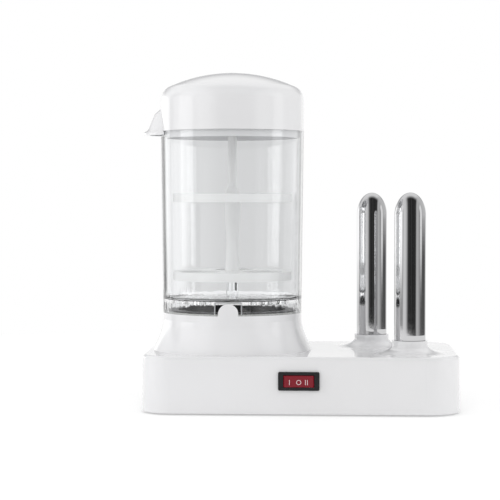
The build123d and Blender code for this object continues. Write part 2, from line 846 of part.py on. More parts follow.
# Cord gland: a grommet snapped into the rear wall
with BuildPart() as cord_gland:
    gland_plane = Plane((gland_x, 0, gland_height), x_dir=(0, 0, 1), z_dir=(-1, 0, 0))
    outer_y = gland_wall_y + gland_gap
    inner_y = gland_wall_y - base_wall - gland_gap - 2 * gland_flange_radius * draft_slope
    with BuildSketch(gland_plane) as gland_profile:
        with BuildLine():
            Polyline(
                (gland_bore_radius, outer_y + gland_flange_thickness),
                (gland_flange_radius, outer_y + gland_flange_thickness),
                (gland_flange_radius, outer_y),
                (gland_neck_radius, outer_y),
                (gland_neck_radius, inner_y),
                (gland_neck_radius + gland_barb_thickness / 2, inner_y),
                (gland_neck_radius, inner_y - gland_barb_thickness),
                (gland_bore_radius, inner_y - gland_barb_thickness),
                close=True,
            )
        make_face()
        fillet(gland_profile.vertices().group_by(Axis.X)[-1].sort_by(Axis.Y)[-1], gland_flange_round)
    revolve(axis=Axis((gland_x, 0, gland_height), (0, 1, 0)))
cord_gland.part.label = "cord_gland"
export_step(cord_gland.part, "parts/cord_gland.step")

# Terminal block on the bottom cover, in front of the gland
block_y = base_depth / 2 - base_wall - block_rear_gap - block_width / 2
block_bore_z = cover_top + block_bore_rise
with BuildPart() as terminal_block:
    with BuildSketch(Plane.XY.offset(cover_top)):
        with Locations((gland_x, block_y)):
            Rectangle(block_length, block_width)
    extrude(amount=block_height)
    with BuildSketch(Plane.XZ.offset(-block_y - block_width / 2)):
        with Locations((gland_x, block_bore_z)):
            with GridLocations(block_pole_pitch, 0, 3, 1):
                Circle(block_bore_radius)
    extrude(amount=block_width, mode=Mode.SUBTRACT)
    with BuildSketch(Plane.XY.offset(cover_top + block_height)):
        with Locations((gland_x, block_y)):
            with GridLocations(block_pole_pitch, 0, 3, 1):
                Circle(block_well_radius)
    extrude(amount=-block_well_depth, mode=Mode.SUBTRACT)
terminal_block.part.label = "terminal_block"
export_step(terminal_block.part, "parts/terminal_block.step")

with BuildPart() as block_screws:
    with BuildSketch(Plane.XY.offset(cover_top + block_height - block_well_depth)):
        with Locations((gland_x, block_y)):
            with GridLocations(block_pole_pitch, 0, 3, 1):
                Circle(block_well_radius - block_screw_gap)
    extrude(amount=block_screw_height)
    with BuildSketch(Plane.XY.offset(cover_top + block_height - block_well_depth + block_screw_height)):
        with Locations((gland_x, block_y)):
            with GridLocations(block_pole_pitch, 0, 3, 1):
                Rectangle(screw_slot_width, 2 * block_well_radius)
    extrude(amount=-screw_slot_depth, mode=Mode.SUBTRACT)
block_screws.part.label = "block_screws"
export_step(block_screws.part, "parts/block_screws.step")

# Leads inside the base, each along its own route from terminal to terminal
blade_end_y = switch_back_y + blade_length
thermostat_blade_y = thermostat_radius + blade_length
thermostat_blade_z = bracket_top + 1.5 * blade_thickness
pin_bottom = bracket_top - element_pin_drop
fuse_lead_low = pin_bottom - fuse_lead_drop
left_pin, right_pin = element_ends
fuse_x = jar_x + element_radius / 2
fuse_reach = fuse_length / 2 + fuse_lead_length
return_x = fuse_x + fuse_reach + fuse_lead_out
pair_offset = lead_radius + lead_side_gap / 2
lead_end_y = block_y - block_width / 2 + lead_insert
spike_feed_x = switch_x + switch_blade_pitch
spike_pole_x = gland_x + block_pole_pitch
rear_in_x = rear_x - bush_lead_spacing / 2
rear_out_x = rear_x + bush_lead_spacing / 2
front_in_x = front_x - bush_lead_spacing / 2
front_out_x = front_x + bush_lead_spacing / 2
lead_routes = {
    "live_lead": [
        (gland_x, lead_end_y, block_bore_z),
        (gland_x, live_run_y, block_bore_z),
        (switch_x, live_run_y, block_bore_z),
        (switch_x, live_run_y, switch_height),
        (switch_x, blade_end_y, switch_height),
    ],
    "pan_feed_lead": [
        (switch_x - switch_blade_pitch, blade_end_y, switch_height),
        (switch_x - switch_blade_pitch, pan_feed_rise_y, switch_height),
        (jar_x, pan_feed_rise_y, switch_height),
        (jar_x, pan_feed_rise_y, thermostat_blade_z),
        (jar_x, -thermostat_blade_y, thermostat_blade_z),
    ],
    "thermostat_lead": [
        (jar_x, thermostat_blade_y, thermostat_blade_z),
        (jar_x, right_pin[1], thermostat_blade_z),
        (jar_x, right_pin[1], pin_bottom - thermostat_lead_drop),
        (right_pin[0], right_pin[1], pin_bottom - thermostat_lead_drop),
        (right_pin[0], right_pin[1], pin_bottom),
    ],
    "fuse_lead": [
        (left_pin[0], left_pin[1], pin_bottom),
        (left_pin[0], left_pin[1], fuse_lead_low),
        (left_pin[0], 0, fuse_lead_low),
        (left_pin[0], 0, fuse_z),
        (fuse_x - fuse_reach, 0, fuse_z),
    ],
    "pan_return_lead": [
        (fuse_x + fuse_reach, 0, fuse_z),
        (return_x, 0, fuse_z),
        (return_x, 0, block_bore_z),
        (gland_x - block_pole_pitch, 0, block_bore_z),
        (gland_x - block_pole_pitch, lead_end_y, block_bore_z),
    ],
    "rear_feed_lead": [
        (spike_feed_x, blade_end_y, switch_height + pair_offset),
        (spike_feed_x, rear_y, switch_height + pair_offset),
        (rear_in_x, rear_y, switch_height + pair_offset),
        (rear_in_x, rear_y, heater_bottom),
    ],
    "front_feed_lead": [
        (spike_feed_x, blade_end_y, switch_height - pair_offset),
        (spike_feed_x, front_y, switch_height - pair_offset),
        (front_in_x, front_y, switch_height - pair_offset),
        (front_in_x, front_y, heater_bottom),
    ],
    "rear_return_lead": [
        (rear_out_x, rear_y, heater_bottom),
        (rear_out_x, rear_y, block_bore_z),
        (spike_pole_x + pair_offset, rear_y, block_bore_z),
        (spike_pole_x + pair_offset, lead_end_y, block_bore_z),
    ],
    "front_return_lead": [
        (front_out_x, front_y, heater_bottom),
        (front_out_x, front_y, block_bore_z),
        (spike_pole_x - pair_offset, front_y, block_bore_z),
        (spike_pole_x - pair_offset, lead_end_y, block_bore_z),
    ],
}
for lead_name, route in lead_routes.items():
    with BuildPart() as lead:
        with BuildLine() as run:
            FilletPolyline(*route, radius=lead_bend)
        with BuildSketch(Plane(run.line @ 0, z_dir=run.line % 0)):
            Circle(lead_radius)
        sweep()
    lead.part.label = lead_name
    export_step(lead.part, f"parts/{lead_name}.step")

# Jar: tapered wall, a steam floor with a spigot, and an open skirt with a notch for the tongue
floor_bottom = rim_height + jar_floor_rise
floor_top = floor_bottom + jar_floor_thickness
taper_slope = (jar_top_radius - tower_radius) / (jar_top_height - rim_height)


def jar_inner_radius(z):
    """Inside radius of the jar's wall at a height."""
    return tower_radius + taper_slope * (z - rim_height) - jar_wall


with BuildPart() as jar:
    with BuildSketch(side_plane(jar_x, 0)) as jar_profile:
        with BuildLine():
            pin_top = tray_seat + spigot_pin_height
            Polyline(
                (0, floor_bottom),
                (jar_inner_radius(floor_bottom), floor_bottom),
                (jar_inner_radius(rim_height), rim_height),
                (tower_radius, rim_height),
                (jar_top_radius, jar_top_height),
                (jar_top_radius - jar_wall, jar_top_height),
                (jar_inner_radius(floor_top), floor_top),
                (spigot_radius, floor_top),
                (spigot_radius, tray_seat),
                (spigot_pin_radius, tray_seat),
                (spigot_pin_radius, pin_top),
                (0, pin_top),
                close=True,
            )
        make_face()
        corner = jar_profile.vertices().filter_by_position(Axis.Y, floor_top, floor_top)
        fillet(corner.sort_by(Axis.X)[-1], jar_floor_round)
        fillet(corner.sort_by(Axis.X)[0], jar_floor_round)
    revolve(axis=upright(jar_x, 0))
    with BuildSketch(Plane.XY.offset(floor_bottom)):
        with Locations((jar_x, 0)):
            with PolarLocations(steam_circle_radius, steam_hole_count):
                Circle(steam_hole_radius)
    extrude(amount=jar_floor_thickness, mode=Mode.SUBTRACT)
    with BuildSketch(Plane.XZ.offset(tower_radius - jar_wall - overrun)):
        with Locations((jar_x, rim_height)):
            notch_height = tongue_height + notch_top_gap
            Rectangle(
                tongue_width + 2 * notch_side_gap, notch_height, align=(Align.CENTER, Align.MIN))
    extrude(amount=2 * overrun + jar_wall, mode=Mode.SUBTRACT)
jar.part.label = "jar"
export_step(jar.part, "parts/jar.step")


def lid_form(inset):
    """Domed plug of the lid's outside, or with an inset of its hollow."""
    radius = jar_top_radius - inset
    dome = lid_dome_radius - inset
    apex = lid_top_height - inset

    def dome_height(r):
        return apex - dome + sqrt(dome ** 2 - r ** 2)

    with BuildPart() as form:
        with BuildSketch(side_plane(jar_x, 0)) as profile:
            with BuildLine():
                rim = Polyline((0, apex), (0, jar_top_height), (radius, jar_top_height),
                               (radius, dome_height(radius)))
                ThreePointArc(rim @ 1, (radius / 2, dome_height(radius / 2)), rim @ 0)
            make_face()
            fillet(profile.vertices().group_by(Axis.X)[-1].sort_by(Axis.Y)[-1], lid_shoulder_radius - inset)
        revolve(axis=upright(jar_x, 0))
    return form.part


# Lid: a domed cap with a plug ring that drops into the jar and a hollow beak to lift it by
beak_x = jar_x - beak_reach + beak_tip_radius
beak_bottom = jar_top_height - beak_drop
beak_neck_radius = beak_tip_radius - beak_lip_width
lid_outer = lid_form(0)
lid_inner = lid_form(lid_wall)

with BuildPart() as beak:
    with BuildSketch(side_plane(beak_x, 0)) as beak_profile:
        with BuildLine():
            brow_radius = beak_tip_radius - beak_brow_setback
            Polyline(
                (0, beak_bottom),
                (beak_tip_radius, beak_bottom),
                (beak_tip_radius, beak_bottom + beak_lip_thickness),
                (beak_neck_radius, beak_bottom + beak_lip_rise),
                (brow_radius, jar_top_height + beak_brow_height),
                (0, jar_top_height + beak_crown_height),
                close=True,
            )
        make_face()
        neck = beak_profile.vertices().sort_by(Axis.Y)[-3]
        brow = beak_profile.vertices().sort_by(Axis.Y)[-2]
        fillet(neck, beak_lip_round)
        fillet(brow, beak_brow_round)
    revolve(axis=upright(beak_x, 0))
    with BuildSketch(Plane.XY.offset(beak_bottom - overrun)):
        with Locations((jar_x, 0)):
            Circle(jar_top_radius + beak_jar_gap)
    extrude(amount=beak_drop + overrun, mode=Mode.SUBTRACT)

with BuildPart() as beak_hollow:
    with BuildSketch(side_plane(beak_x, 0)):
        with BuildLine():
            Polyline(
                (0, beak_bottom - overrun),
                (beak_neck_radius - beak_wall, beak_bottom - overrun),
                (beak_neck_radius - beak_wall, beak_bottom + beak_lip_rise),
                (brow_radius - beak_wall, jar_top_height + beak_brow_height - beak_wall),
                (0, jar_top_height + beak_crown_height - 2 * beak_wall),
                close=True,
            )
        make_face()
    revolve(axis=upright(beak_x, 0))
    with BuildSketch(Plane.XY.offset(beak_bottom - overrun)):
        with Locations((jar_x, 0)):
            Circle(jar_top_radius)
    extrude(amount=beak_drop + beak_crown_height + 2 * overrun, mode=Mode.SUBTRACT)

plug_radius = jar_inner_radius(jar_top_height - lid_plug_depth) - lid_plug_gap
with BuildPart() as lid:
    add(lid_outer)
    add(beak.part)
    add(lid_inner, mode=Mode.SUBTRACT)
    add(beak_hollow.part, mode=Mode.SUBTRACT)
    with BuildSketch(side_plane(jar_x, 0)):
        with BuildLine():
            Polyline(
                (plug_radius - lid_plug_wall, jar_top_height - lid_plug_depth),
                (plug_radius, jar_top_height - lid_plug_depth),
                (plug_radius, jar_top_height),
                (jar_top_radius - lid_wall / 2, jar_top_height),
                (jar_top_radius - lid_wall / 2, jar_top_height + lid_wall),
                (plug_radius - lid_plug_wall, jar_top_height + lid_wall),
                close=True,
            )
        make_face()
    revolve(axis=upright(jar_x, 0))
    with BuildSketch(Plane.XY.offset(lid_top_height - lid_wall - overrun)):
        with Locations((jar_x, 0)):
            with PolarLocations(vent_circle_radius, vent_hole_count):
                Circle(vent_hole_radius)
    extrude(amount=lid_wall + 2 * overrun, mode=Mode.SUBTRACT)
lid.part.label = "lid"
export_step(lid.part, "parts/lid.step")


def egg_tray(seat):
    """Tray without its stems: a holed plate on a rim, with a lip round each hole and ribs to a hub."""
    top = seat + tray_height
    egg_start = 90
    rib_length = tray_radius - tray_rim_wall / 2
    with BuildPart() as tray:
        with BuildSketch(Plane.XY.offset(seat)):
            with Locations((jar_x, 0)):
                Circle(tray_radius)
        extrude(amount=tray_height)
        fillet(tray.faces().sort_by(Axis.Z)[-1].edges(), tray_edge_round)
        with BuildSketch(Plane.XY.offset(seat)):
            with Locations((jar_x, 0)):
                Circle(tray_radius - tray_rim_wall)
        extrude(amount=tray_height - tray_plate, mode=Mode.SUBTRACT)
        with BuildSketch(Plane.XY.offset(seat)):
            with Locations((jar_x, 0)):
                with PolarLocations(rib_length / 2, egg_hole_count, start_angle=egg_start + 180):
                    Rectangle(rib_length, tray_rib_thickness)
                Circle(tray_hub_radius)
        extrude(amount=tray_height - tray_plate)
        with BuildSketch(Plane.XY.offset(top - egg_lip_height)):
            with Locations((jar_x, 0)):
                with PolarLocations(egg_circle_radius, egg_hole_count, start_angle=egg_start):
                    Circle(egg_hole_radius + egg_lip_width)
        extrude(amount=egg_lip_height - tray_plate / 2)
        with BuildSketch(Plane.XY.offset(seat)):
            with Locations((jar_x, 0)):
                with PolarLocations(egg_circle_radius, egg_hole_count, start_angle=egg_start):
                    Circle(egg_hole_radius)
        extrude(amount=tray_height, mode=Mode.SUBTRACT)
    return tray.part


# Lower tray: its hub sits on the jar's spigot and its stem carries the upper tray
with BuildPart() as lower_egg_tray:
    add(egg_tray(tray_seat))
    with BuildSketch(side_plane(jar_x, 0)):
        with BuildLine():
            stem_foot = tray_seat + tray_height - tray_plate / 2
            Polyline(
                (0, stem_foot),
                (stem_foot_radius, stem_foot),
                (stem_foot_radius, tray_seat + tray_height),
                (stem_seam_radius, stem_seam),
                (stem_pin_radius, stem_seam),
                (stem_pin_radius, stem_seam + stem_pin_height),
                (0, stem_seam + stem_pin_height),
                close=True,
            )
        make_face()
    revolve(axis=upright(jar_x, 0))
    with BuildSketch(Plane.XY.offset(tray_seat)):
        with Locations((jar_x, 0)):
            Circle(spigot_pin_radius + stem_fit_gap)
    extrude(amount=spigot_pin_height + stem_end_gap, mode=Mode.SUBTRACT)
lower_egg_tray.part.label = "lower_egg_tray"
export_step(lower_egg_tray.part, "parts/lower_egg_tray.step")

# Upper tray: a tapered socket below, a slim post with a grip above
with BuildPart() as upper_egg_tray:
    add(egg_tray(upper_tray_seat))
    with BuildSketch(side_plane(jar_x, 0)) as post_profile:
        with BuildLine():
            plate_top = upper_tray_seat + tray_height
            post_top = plate_top + post_height
            Polyline(
                (0, stem_seam),
                (socket_end_radius, stem_seam),
                (socket_top_radius, plate_top - tray_plate),
                (post_foot_radius, plate_top - tray_plate),
                (post_foot_radius, plate_top),
                (post_radius, plate_top + post_foot_height),
                (post_radius, post_top - grip_height),
                (grip_radius, post_top - grip_height / 2),
                (post_radius, post_top),
                (0, post_top),
                close=True,
            )
        make_face()
        widest = post_profile.vertices().filter_by_position(Axis.X, grip_radius, grip_radius)
        fillet(widest.sort_by(Axis.Y)[-1], grip_round)
    revolve(axis=upright(jar_x, 0))
    with BuildSketch(Plane.XY.offset(stem_seam)):
        with Locations((jar_x, 0)):
            Circle(stem_pin_radius + stem_fit_gap)
    extrude(amount=stem_pin_height + stem_end_gap, mode=Mode.SUBTRACT)
upper_egg_tray.part.label = "upper_egg_tray"
export_step(upper_egg_tray.part, "parts/upper_egg_tray.step")
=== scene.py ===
import math

import bpy
import numpy as np
from bpy.props import FloatProperty, FloatVectorProperty, IntProperty, PointerProperty
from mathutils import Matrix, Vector


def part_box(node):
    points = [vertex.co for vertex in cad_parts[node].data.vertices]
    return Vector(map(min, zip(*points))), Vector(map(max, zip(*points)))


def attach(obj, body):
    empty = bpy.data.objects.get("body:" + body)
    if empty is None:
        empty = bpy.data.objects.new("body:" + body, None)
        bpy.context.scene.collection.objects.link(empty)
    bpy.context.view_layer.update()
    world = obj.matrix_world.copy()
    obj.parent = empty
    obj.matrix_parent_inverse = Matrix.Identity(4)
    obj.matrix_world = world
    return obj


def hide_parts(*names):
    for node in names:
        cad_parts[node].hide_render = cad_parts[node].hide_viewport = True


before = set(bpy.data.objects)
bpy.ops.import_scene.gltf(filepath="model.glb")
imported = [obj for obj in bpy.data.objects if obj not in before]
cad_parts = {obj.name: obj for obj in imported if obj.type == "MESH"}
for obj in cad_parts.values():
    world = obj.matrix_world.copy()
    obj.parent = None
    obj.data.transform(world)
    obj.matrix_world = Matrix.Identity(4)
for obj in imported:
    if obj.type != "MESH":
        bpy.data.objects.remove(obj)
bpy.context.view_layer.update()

bl_info = {
    "name": "Hot Dog Maker",
    "version": (1, 0, 0),
    "blender": (4, 5, 0),
    "location": "View3D > Sidebar > Hot Dog Maker",
    "description": "Builds the visible surfaces of a counter-top hot dog maker round its packed solids",
    "category": "Object",
}

MM = 0.001


# Settings that the panel shows


def length(name, description, default):
    """A length property in metres, shown in scene units."""
    return FloatProperty(name=name, description=description, default=default, unit="LENGTH", precision=5)


def factor(name, description, default):
    """A share property from 0 to 1."""
    return FloatProperty(name=name, description=description, default=default, subtype="FACTOR",
                         min=0.0, max=1.0)


def power(name, description, default):
    """A lamp's power property in watts."""
    return FloatProperty(name=name, description=description, default=default, unit="POWER", min=0.0)


def strength(name, description, default):
    """A plain strength property, where 1 is white."""
    return FloatProperty(name=name, description=description, default=default, min=0.0)


def colour(name, description, default):
    """A linear colour property."""
    return FloatVectorProperty(name=name, description=description, default=default, subtype="COLOR",
                               size=3, min=0.0, max=1.0)


class HotDogSizes(bpy.types.PropertyGroup):
    """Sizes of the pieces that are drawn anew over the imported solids."""

    spike_wall: length("Spike wall", "Thickness of a bun spike's tube", 0.8 * MM)
    spike_foot_step: length("Spike neck", "How far the foot in the collar is necked in", 0.7 * MM)
    spike_wall_height: length("Spike height", "Height of the straight wall over the collar", 100.0 * MM)
    spike_tip_height: length("Spike tip", "Height of the bullet tip", 18.0 * MM)
    spike_bulge: factor("Tip bulge", "How full the bullet tip is", 0.55)
    notch_half: length("Notch half width", "Half the width of the lip round the skirt's notch", 10.55 * MM)
    notch_height: length("Notch height", "Height of the lip over the skirt's lower edge", 10.45 * MM)
    notch_corner: length("Notch corner", "Radius of the lip's corners", 1.2 * MM)
    notch_lip: length("Notch lip", "Radius of the lip's section", 0.5 * MM)
    skirt_radius: length("Skirt radius", "Radius of the skirt at its lower edge", 56.7 * MM)
    mark_height: length("Mark height", "Height of the bars on the rocker", 4.1 * MM)
    mark_stroke: length("Mark stroke", "Width of a mark's stroke", 0.45 * MM)
    mark_lift: length("Mark lift", "How far a mark stands out of the rocker", 0.06 * MM)
    mark_drop: length("Mark drop", "How far the marks sit below the rocker's middle", 0.7 * MM)
    mark_ring: length("Ring radius", "Radius of the ring mark, at its stroke's middle", 1.7 * MM)
    mark_left: length("Single bar", "Place of the single bar, left of the middle", 7.2 * MM)
    mark_right: length("Double bar", "Place of the double bar, right of the middle", 6.0 * MM)
    mark_pair: length("Bar pair", "Distance between the bars of the double mark", 1.6 * MM)
    rocker_dip: length("Rocker dip", "How far the middle of the face lies behind its ends", 0.8 * MM)
    rocker_face: length("Rocker face", "Width of the rocker's face", 22.3 * MM)
    steps_around: IntProperty(name="Steps around", description="Steps round a spike", default=160, min=24)


class HotDogColours(bpy.types.PropertyGroup):
    """Colours of the finishes."""

    shell: colour("Shell", "Glossy white moulding", (0.80, 0.80, 0.812))
    tray: colour("Trays", "Satin white moulding", (0.93, 0.93, 0.93))
    clear: colour("Jar", "Tint of the clear plastic", (0.95, 0.955, 0.96))
    passing: colour("Jar light", "Tint of the lamps' light that passes the jar", (0.93, 0.935, 0.935))
    steel: colour("Steel", "Polished stainless steel", (0.63, 0.63, 0.64))
    coating: colour("Pan", "Non-stick coating", (0.022, 0.022, 0.024))
    black: colour("Black", "Black plastic", (0.012, 0.012, 0.013))
    red: colour("Rocker", "Red rocker", (0.215, 0.008, 0.018))
    mark: colour("Marks", "Marks on the rocker", (0.80, 0.68, 0.68))
    rubber: colour("Feet", "Rubber of the feet", (0.03, 0.03, 0.03))
    silicone: colour("Gasket", "Silicone of the gasket", (0.55, 0.55, 0.53))
    zinc: colour("Zinc", "Zinc-plated steel", (0.52, 0.53, 0.55))
    element: colour("Element", "Heat-toned element", (0.34, 0.32, 0.30))
    ceramic: colour("Ceramic", "Unglazed ceramic", (0.72, 0.69, 0.61))
    brass: colour("Brass", "Brass contacts", (0.62, 0.42, 0.13))
    block: colour("Block", "Plastic of the terminal block", (0.62, 0.58, 0.46))
    feed: colour("Feed", "Insulation of the feed leads", (0.07, 0.022, 0.008))
    back: colour("Return", "Insulation of the return leads", (0.008, 0.03, 0.16))
    paper: colour("Paper", "Paper of the studio floor", (0.95, 0.95, 0.95))


class HotDogStage(bpy.types.PropertyGroup):
    """Camera and light of the studio."""

    camera_x: length("Camera side", "Camera's place to the right of the origin", 0.025)
    camera_distance: length("Camera distance", "Camera's distance in front of the origin", 1.311)
    camera_height: length("Camera height", "Camera's height over the table", 0.1703)
    aim_x: length("Aim side", "Point the camera looks at, across", -0.0402)
    aim_z: length("Aim height", "Point the camera looks at, up", 0.1269)
    floor_radius: length("Floor radius", "Radius of the studio's round floor", 0.75)
    lens: FloatProperty(name="Lens", description="Focal length on a 36 mm sensor", default=115.2, min=20.0,
                        unit="CAMERA")
    key_watts: power("Key light", "Power of the left soft box", 3.2)
    fill_watts: power("Fill light", "Power of the right soft box", 2.8)
    front_watts: power("Front light", "Power of the front soft box", 2.5)
    sky: strength("Tent", "Strength of the tent's walls for diffuse light", 0.84)
    paper_glow: strength("Paper glow", "Strength of the light that the floor gives of itself", 1.25)
    paper_share: factor("Paper share", "Share of that light in a floor that is seen", 0.35)


def sizes():
    """Sizes set in the panel."""
    return bpy.context.scene.hot_dog_sizes


def colours():
    """Colours set in the panel."""
    return bpy.context.scene.hot_dog_colours


# Shader nodes


def noise(tree, vector, scale, detail=2.0, rough=0.5):
    """Noise texture on a vector socket; scale may be a number or a socket."""
    node = tree.nodes.new("ShaderNodeTexNoise")
    node.inputs["Detail"].default_value = detail
    node.inputs["Roughness"].default_value = rough
    tree.links.new(vector, node.inputs["Vector"])
    if isinstance(scale, (int, float)):
        node.inputs["Scale"].default_value = scale
    else:
        tree.links.new(scale, node.inputs["Scale"])
    return node.outputs["Fac"]


def sums(tree, operation, first, second, third=None, clamp=False):
    """Math node of two or three values, each a number or a socket."""
    node = tree.nodes.new("ShaderNodeMath")
    node.operation = operation
    node.use_clamp = clamp
    for slot, value in enumerate((first, second, third)):
        if value is None:
            continue
        if isinstance(value, (int, float)):
            node.inputs[slot].default_value = value
        else:
            tree.links.new(value, node.inputs[slot])
    return node.outputs[0]


def ramp(tree, value, off, on):
    """Smooth step of a value: 0 where it is at off, 1 where it is at on."""
    node = tree.nodes.new("ShaderNodeMapRange")
    node.interpolation_type = "SMOOTHSTEP"
    node.inputs["From Min"].default_value = off
    node.inputs["From Max"].default_value = on
    tree.links.new(value, node.inputs["Value"])
    return node.outputs["Result"]


def window(tree, value, opens, closes):
    """Smooth window on a value: from 0 to 1 between the ends of opens, and back between those of closes."""
    return sums(tree, "SUBTRACT", ramp(tree, value, *opens), ramp(tree, value, *closes))


def blend(tree, share, first, second):
    """Colour mix by a share, each colour a triple or a socket."""
    node = tree.nodes.new("ShaderNodeMix")
    node.data_type = "RGBA"
    tree.links.new(share, node.inputs["Factor"])
    for slot, value in (("A", first), ("B", second)):
        socket = next(s for s in node.inputs if s.name == slot and s.type == "RGBA")
        if isinstance(value, tuple):
            socket.default_value = (*value, 1.0)
        else:
            tree.links.new(value, socket)
    return next(s for s in node.outputs if s.type == "RGBA")


def grey(level):
    """Colour triple of one level."""
    return (level, level, level)


def darker(rgb, share):
    """The colour times a share, warmer by a trace."""
    trace = (1.0, 0.998, 0.992)
    return tuple(level * share * warmth for level, warmth in zip(rgb, trace))


def object_points(tree):
    """Object coordinates, in metres from the shared origin."""
    return tree.nodes.new("ShaderNodeTexCoord").outputs["Object"]


def stretched(tree, vector, scale):
    """The vector with each axis scaled by itself."""
    node = tree.nodes.new("ShaderNodeMapping")
    node.inputs["Scale"].default_value = scale
    tree.links.new(vector, node.inputs["Vector"])
    return node.outputs["Vector"]


def bump(tree, shader, height, strength, distance):
    """Bump of a height socket into the shader's normal."""
    node = tree.nodes.new("ShaderNodeBump")
    node.inputs["Strength"].default_value = strength
    node.inputs["Distance"].default_value = distance
    tree.links.new(height, node.inputs["Height"])
    tree.links.new(node.outputs["Normal"], shader.inputs["Normal"])


# Shader groups that several finishes share

colour_socket = "NodeSocketColor"
number_socket = "NodeSocketFloat"


def start_group(name, inputs, outputs):
    """New shader node group with labelled sockets, and its two end nodes."""
    group = bpy.data.node_groups.new(name, "ShaderNodeTree")
    for direction, sockets in (("INPUT", inputs), ("OUTPUT", outputs)):
        for label, kind in sockets.items():
            group.interface.new_socket(name=label, in_out=direction, socket_type=kind)
    return group, group.nodes.new("NodeGroupInput"), group.nodes.new("NodeGroupOutput")


def moulded_group():
    """Moulded plastic: faint cloudy tone, fine pebble height, and gloss that varies with handling."""
    dust_dulls = 0.05
    group, start, end = start_group(
        "Moulded skin",
        {"Colour": colour_socket, "Shade": colour_socket, "Gloss": number_socket,
         "Gloss spread": number_socket, "Pebble": number_socket},
        {"Colour": colour_socket, "Roughness": number_socket, "Height": number_socket})
    points = object_points(group)
    cloud = ramp(group, noise(group, points, scale=9.0, detail=3.0), off=0.35, on=0.75)
    tone = blend(group, cloud, start.outputs["Colour"], start.outputs["Shade"])
    handling = noise(group, points, scale=42.0, detail=4.0, rough=0.6)
    worn = sums(group, "MULTIPLY_ADD", handling, start.outputs["Gloss spread"], start.outputs["Gloss"])
    dust = ramp(group, noise(group, points, scale=310.0, detail=2.0, rough=0.6), off=0.66, on=0.76)
    dusty = sums(group, "MULTIPLY_ADD", dust, dust_dulls, worn, clamp=True)
    pebble = noise(group, points, start.outputs["Pebble"], detail=1.0)
    group.links.new(tone, end.inputs["Colour"])
    group.links.new(dusty, end.inputs["Roughness"])
    group.links.new(pebble, end.inputs["Height"])
    return group


def turned_group():
    """Turned and polished metal: fine rings across the height, smears and a slow cloud of tone."""
    smear_dulls = 0.06
    group, start, end = start_group(
        "Turned metal",
        {"Gloss": number_socket, "Ring depth": number_socket, "Rings": number_socket},
        {"Roughness": number_socket, "Height": number_socket, "Tone": number_socket})
    points = object_points(group)
    level = stretched(group, points, (0.012, 0.012, 1.0))
    rings = noise(group, level, start.outputs["Rings"], detail=3.0, rough=0.7)
    ringed = sums(group, "MULTIPLY_ADD", rings, start.outputs["Ring depth"], start.outputs["Gloss"])
    smear = ramp(group, noise(group, points, scale=95.0, detail=4.0, rough=0.65), off=0.58, on=0.78)
    smeared = sums(group, "MULTIPLY_ADD", smear, smear_dulls, ringed, clamp=True)
    cloud = noise(group, points, scale=34.0, detail=3.0)
    group.links.new(smeared, end.inputs["Roughness"])
    group.links.new(rings, end.inputs["Height"])
    group.links.new(cloud, end.inputs["Tone"])
    return group


def scuff_group():
    """Clear plastic: sparse hairline scuffs, a slow swell from the mould and ripples round the foot."""
    group, start, end = start_group(
        "Hairline scuffs",
        {"Gloss": number_socket, "Scuff": number_socket, "Ripple": number_socket},
        {"Roughness": number_socket, "Height": number_socket})
    points = object_points(group)
    level = noise(group, stretched(group, points, (30.0, 30.0, 900.0)), scale=1.0, rough=0.6)
    upright = noise(group, stretched(group, points, (700.0, 700.0, 25.0)), scale=1.0, rough=0.6)
    level_hair = ramp(group, level, off=0.70, on=0.78)
    upright_hair = ramp(group, upright, off=0.72, on=0.80)
    hair = sums(group, "MAXIMUM", level_hair, upright_hair)
    scuffed = sums(group, "MULTIPLY_ADD", hair, start.outputs["Scuff"], start.outputs["Gloss"], clamp=True)
    parts = group.nodes.new("ShaderNodeSeparateXYZ")
    group.links.new(points, parts.inputs["Vector"])
    wall = ramp(group, parts.outputs["Z"], off=0.086, on=0.098)
    foot = sums(group, "SUBTRACT", 1.0, wall)
    ripple = noise(group, stretched(group, points, (150.0, 150.0, 60.0)), scale=1.0, rough=0.6)
    rippled = sums(group, "MULTIPLY", ripple, foot)
    swell = noise(group, points, scale=26.0, detail=1.0)
    uneven = sums(group, "MULTIPLY_ADD", rippled, start.outputs["Ripple"], swell)
    group.links.new(scuffed, end.inputs["Roughness"])
    group.links.new(uneven, end.inputs["Height"])
    return group


def fleck_group():
    """Flecked coat: small specks in a plain ground, each a little glossier than the ground."""
    cloud_dulls = 0.16
    fleck_dulls = -0.08
    group, start, end = start_group(
        "Flecked coat",
        {"Colour": colour_socket, "Fleck": colour_socket, "Gloss": number_socket, "Size": number_socket},
        {"Colour": colour_socket, "Roughness": number_socket, "Height": number_socket})
    points = object_points(group)
    flecks = ramp(group, noise(group, points, start.outputs["Size"], rough=0.6), off=0.64, on=0.72)
    tone = blend(group, flecks, start.outputs["Colour"], start.outputs["Fleck"])
    cloud = noise(group, points, scale=60.0, detail=3.0)
    dulled = sums(group, "MULTIPLY_ADD", cloud, cloud_dulls, start.outputs["Gloss"])
    flecked_gloss = sums(group, "MULTIPLY_ADD", flecks, fleck_dulls, dulled, clamp=True)
    group.links.new(tone, end.inputs["Colour"])
    group.links.new(flecked_gloss, end.inputs["Roughness"])
    group.links.new(flecks, end.inputs["Height"])
    return group


group_makers = {"moulded": moulded_group, "turned": turned_group, "scuffs": scuff_group,
                "flecks": fleck_group}
groups = {}


def place_group(tree, name, values):
    """Node of a shared group, which is made once, with its input values set."""
    if name not in groups:
        groups[name] = group_makers[name]()
    node = tree.nodes.new("ShaderNodeGroup")
    node.node_tree = groups[name]
    for label, value in values.items():
        node.inputs[label].default_value = (*value, 1.0) if isinstance(value, tuple) else value
    return node


# Finishes


def start_material(name):
    """Empty node material with its Principled shader."""
    material = bpy.data.materials.new(name)
    material.use_nodes = True
    return material, material.node_tree, material.node_tree.nodes["Principled BSDF"]


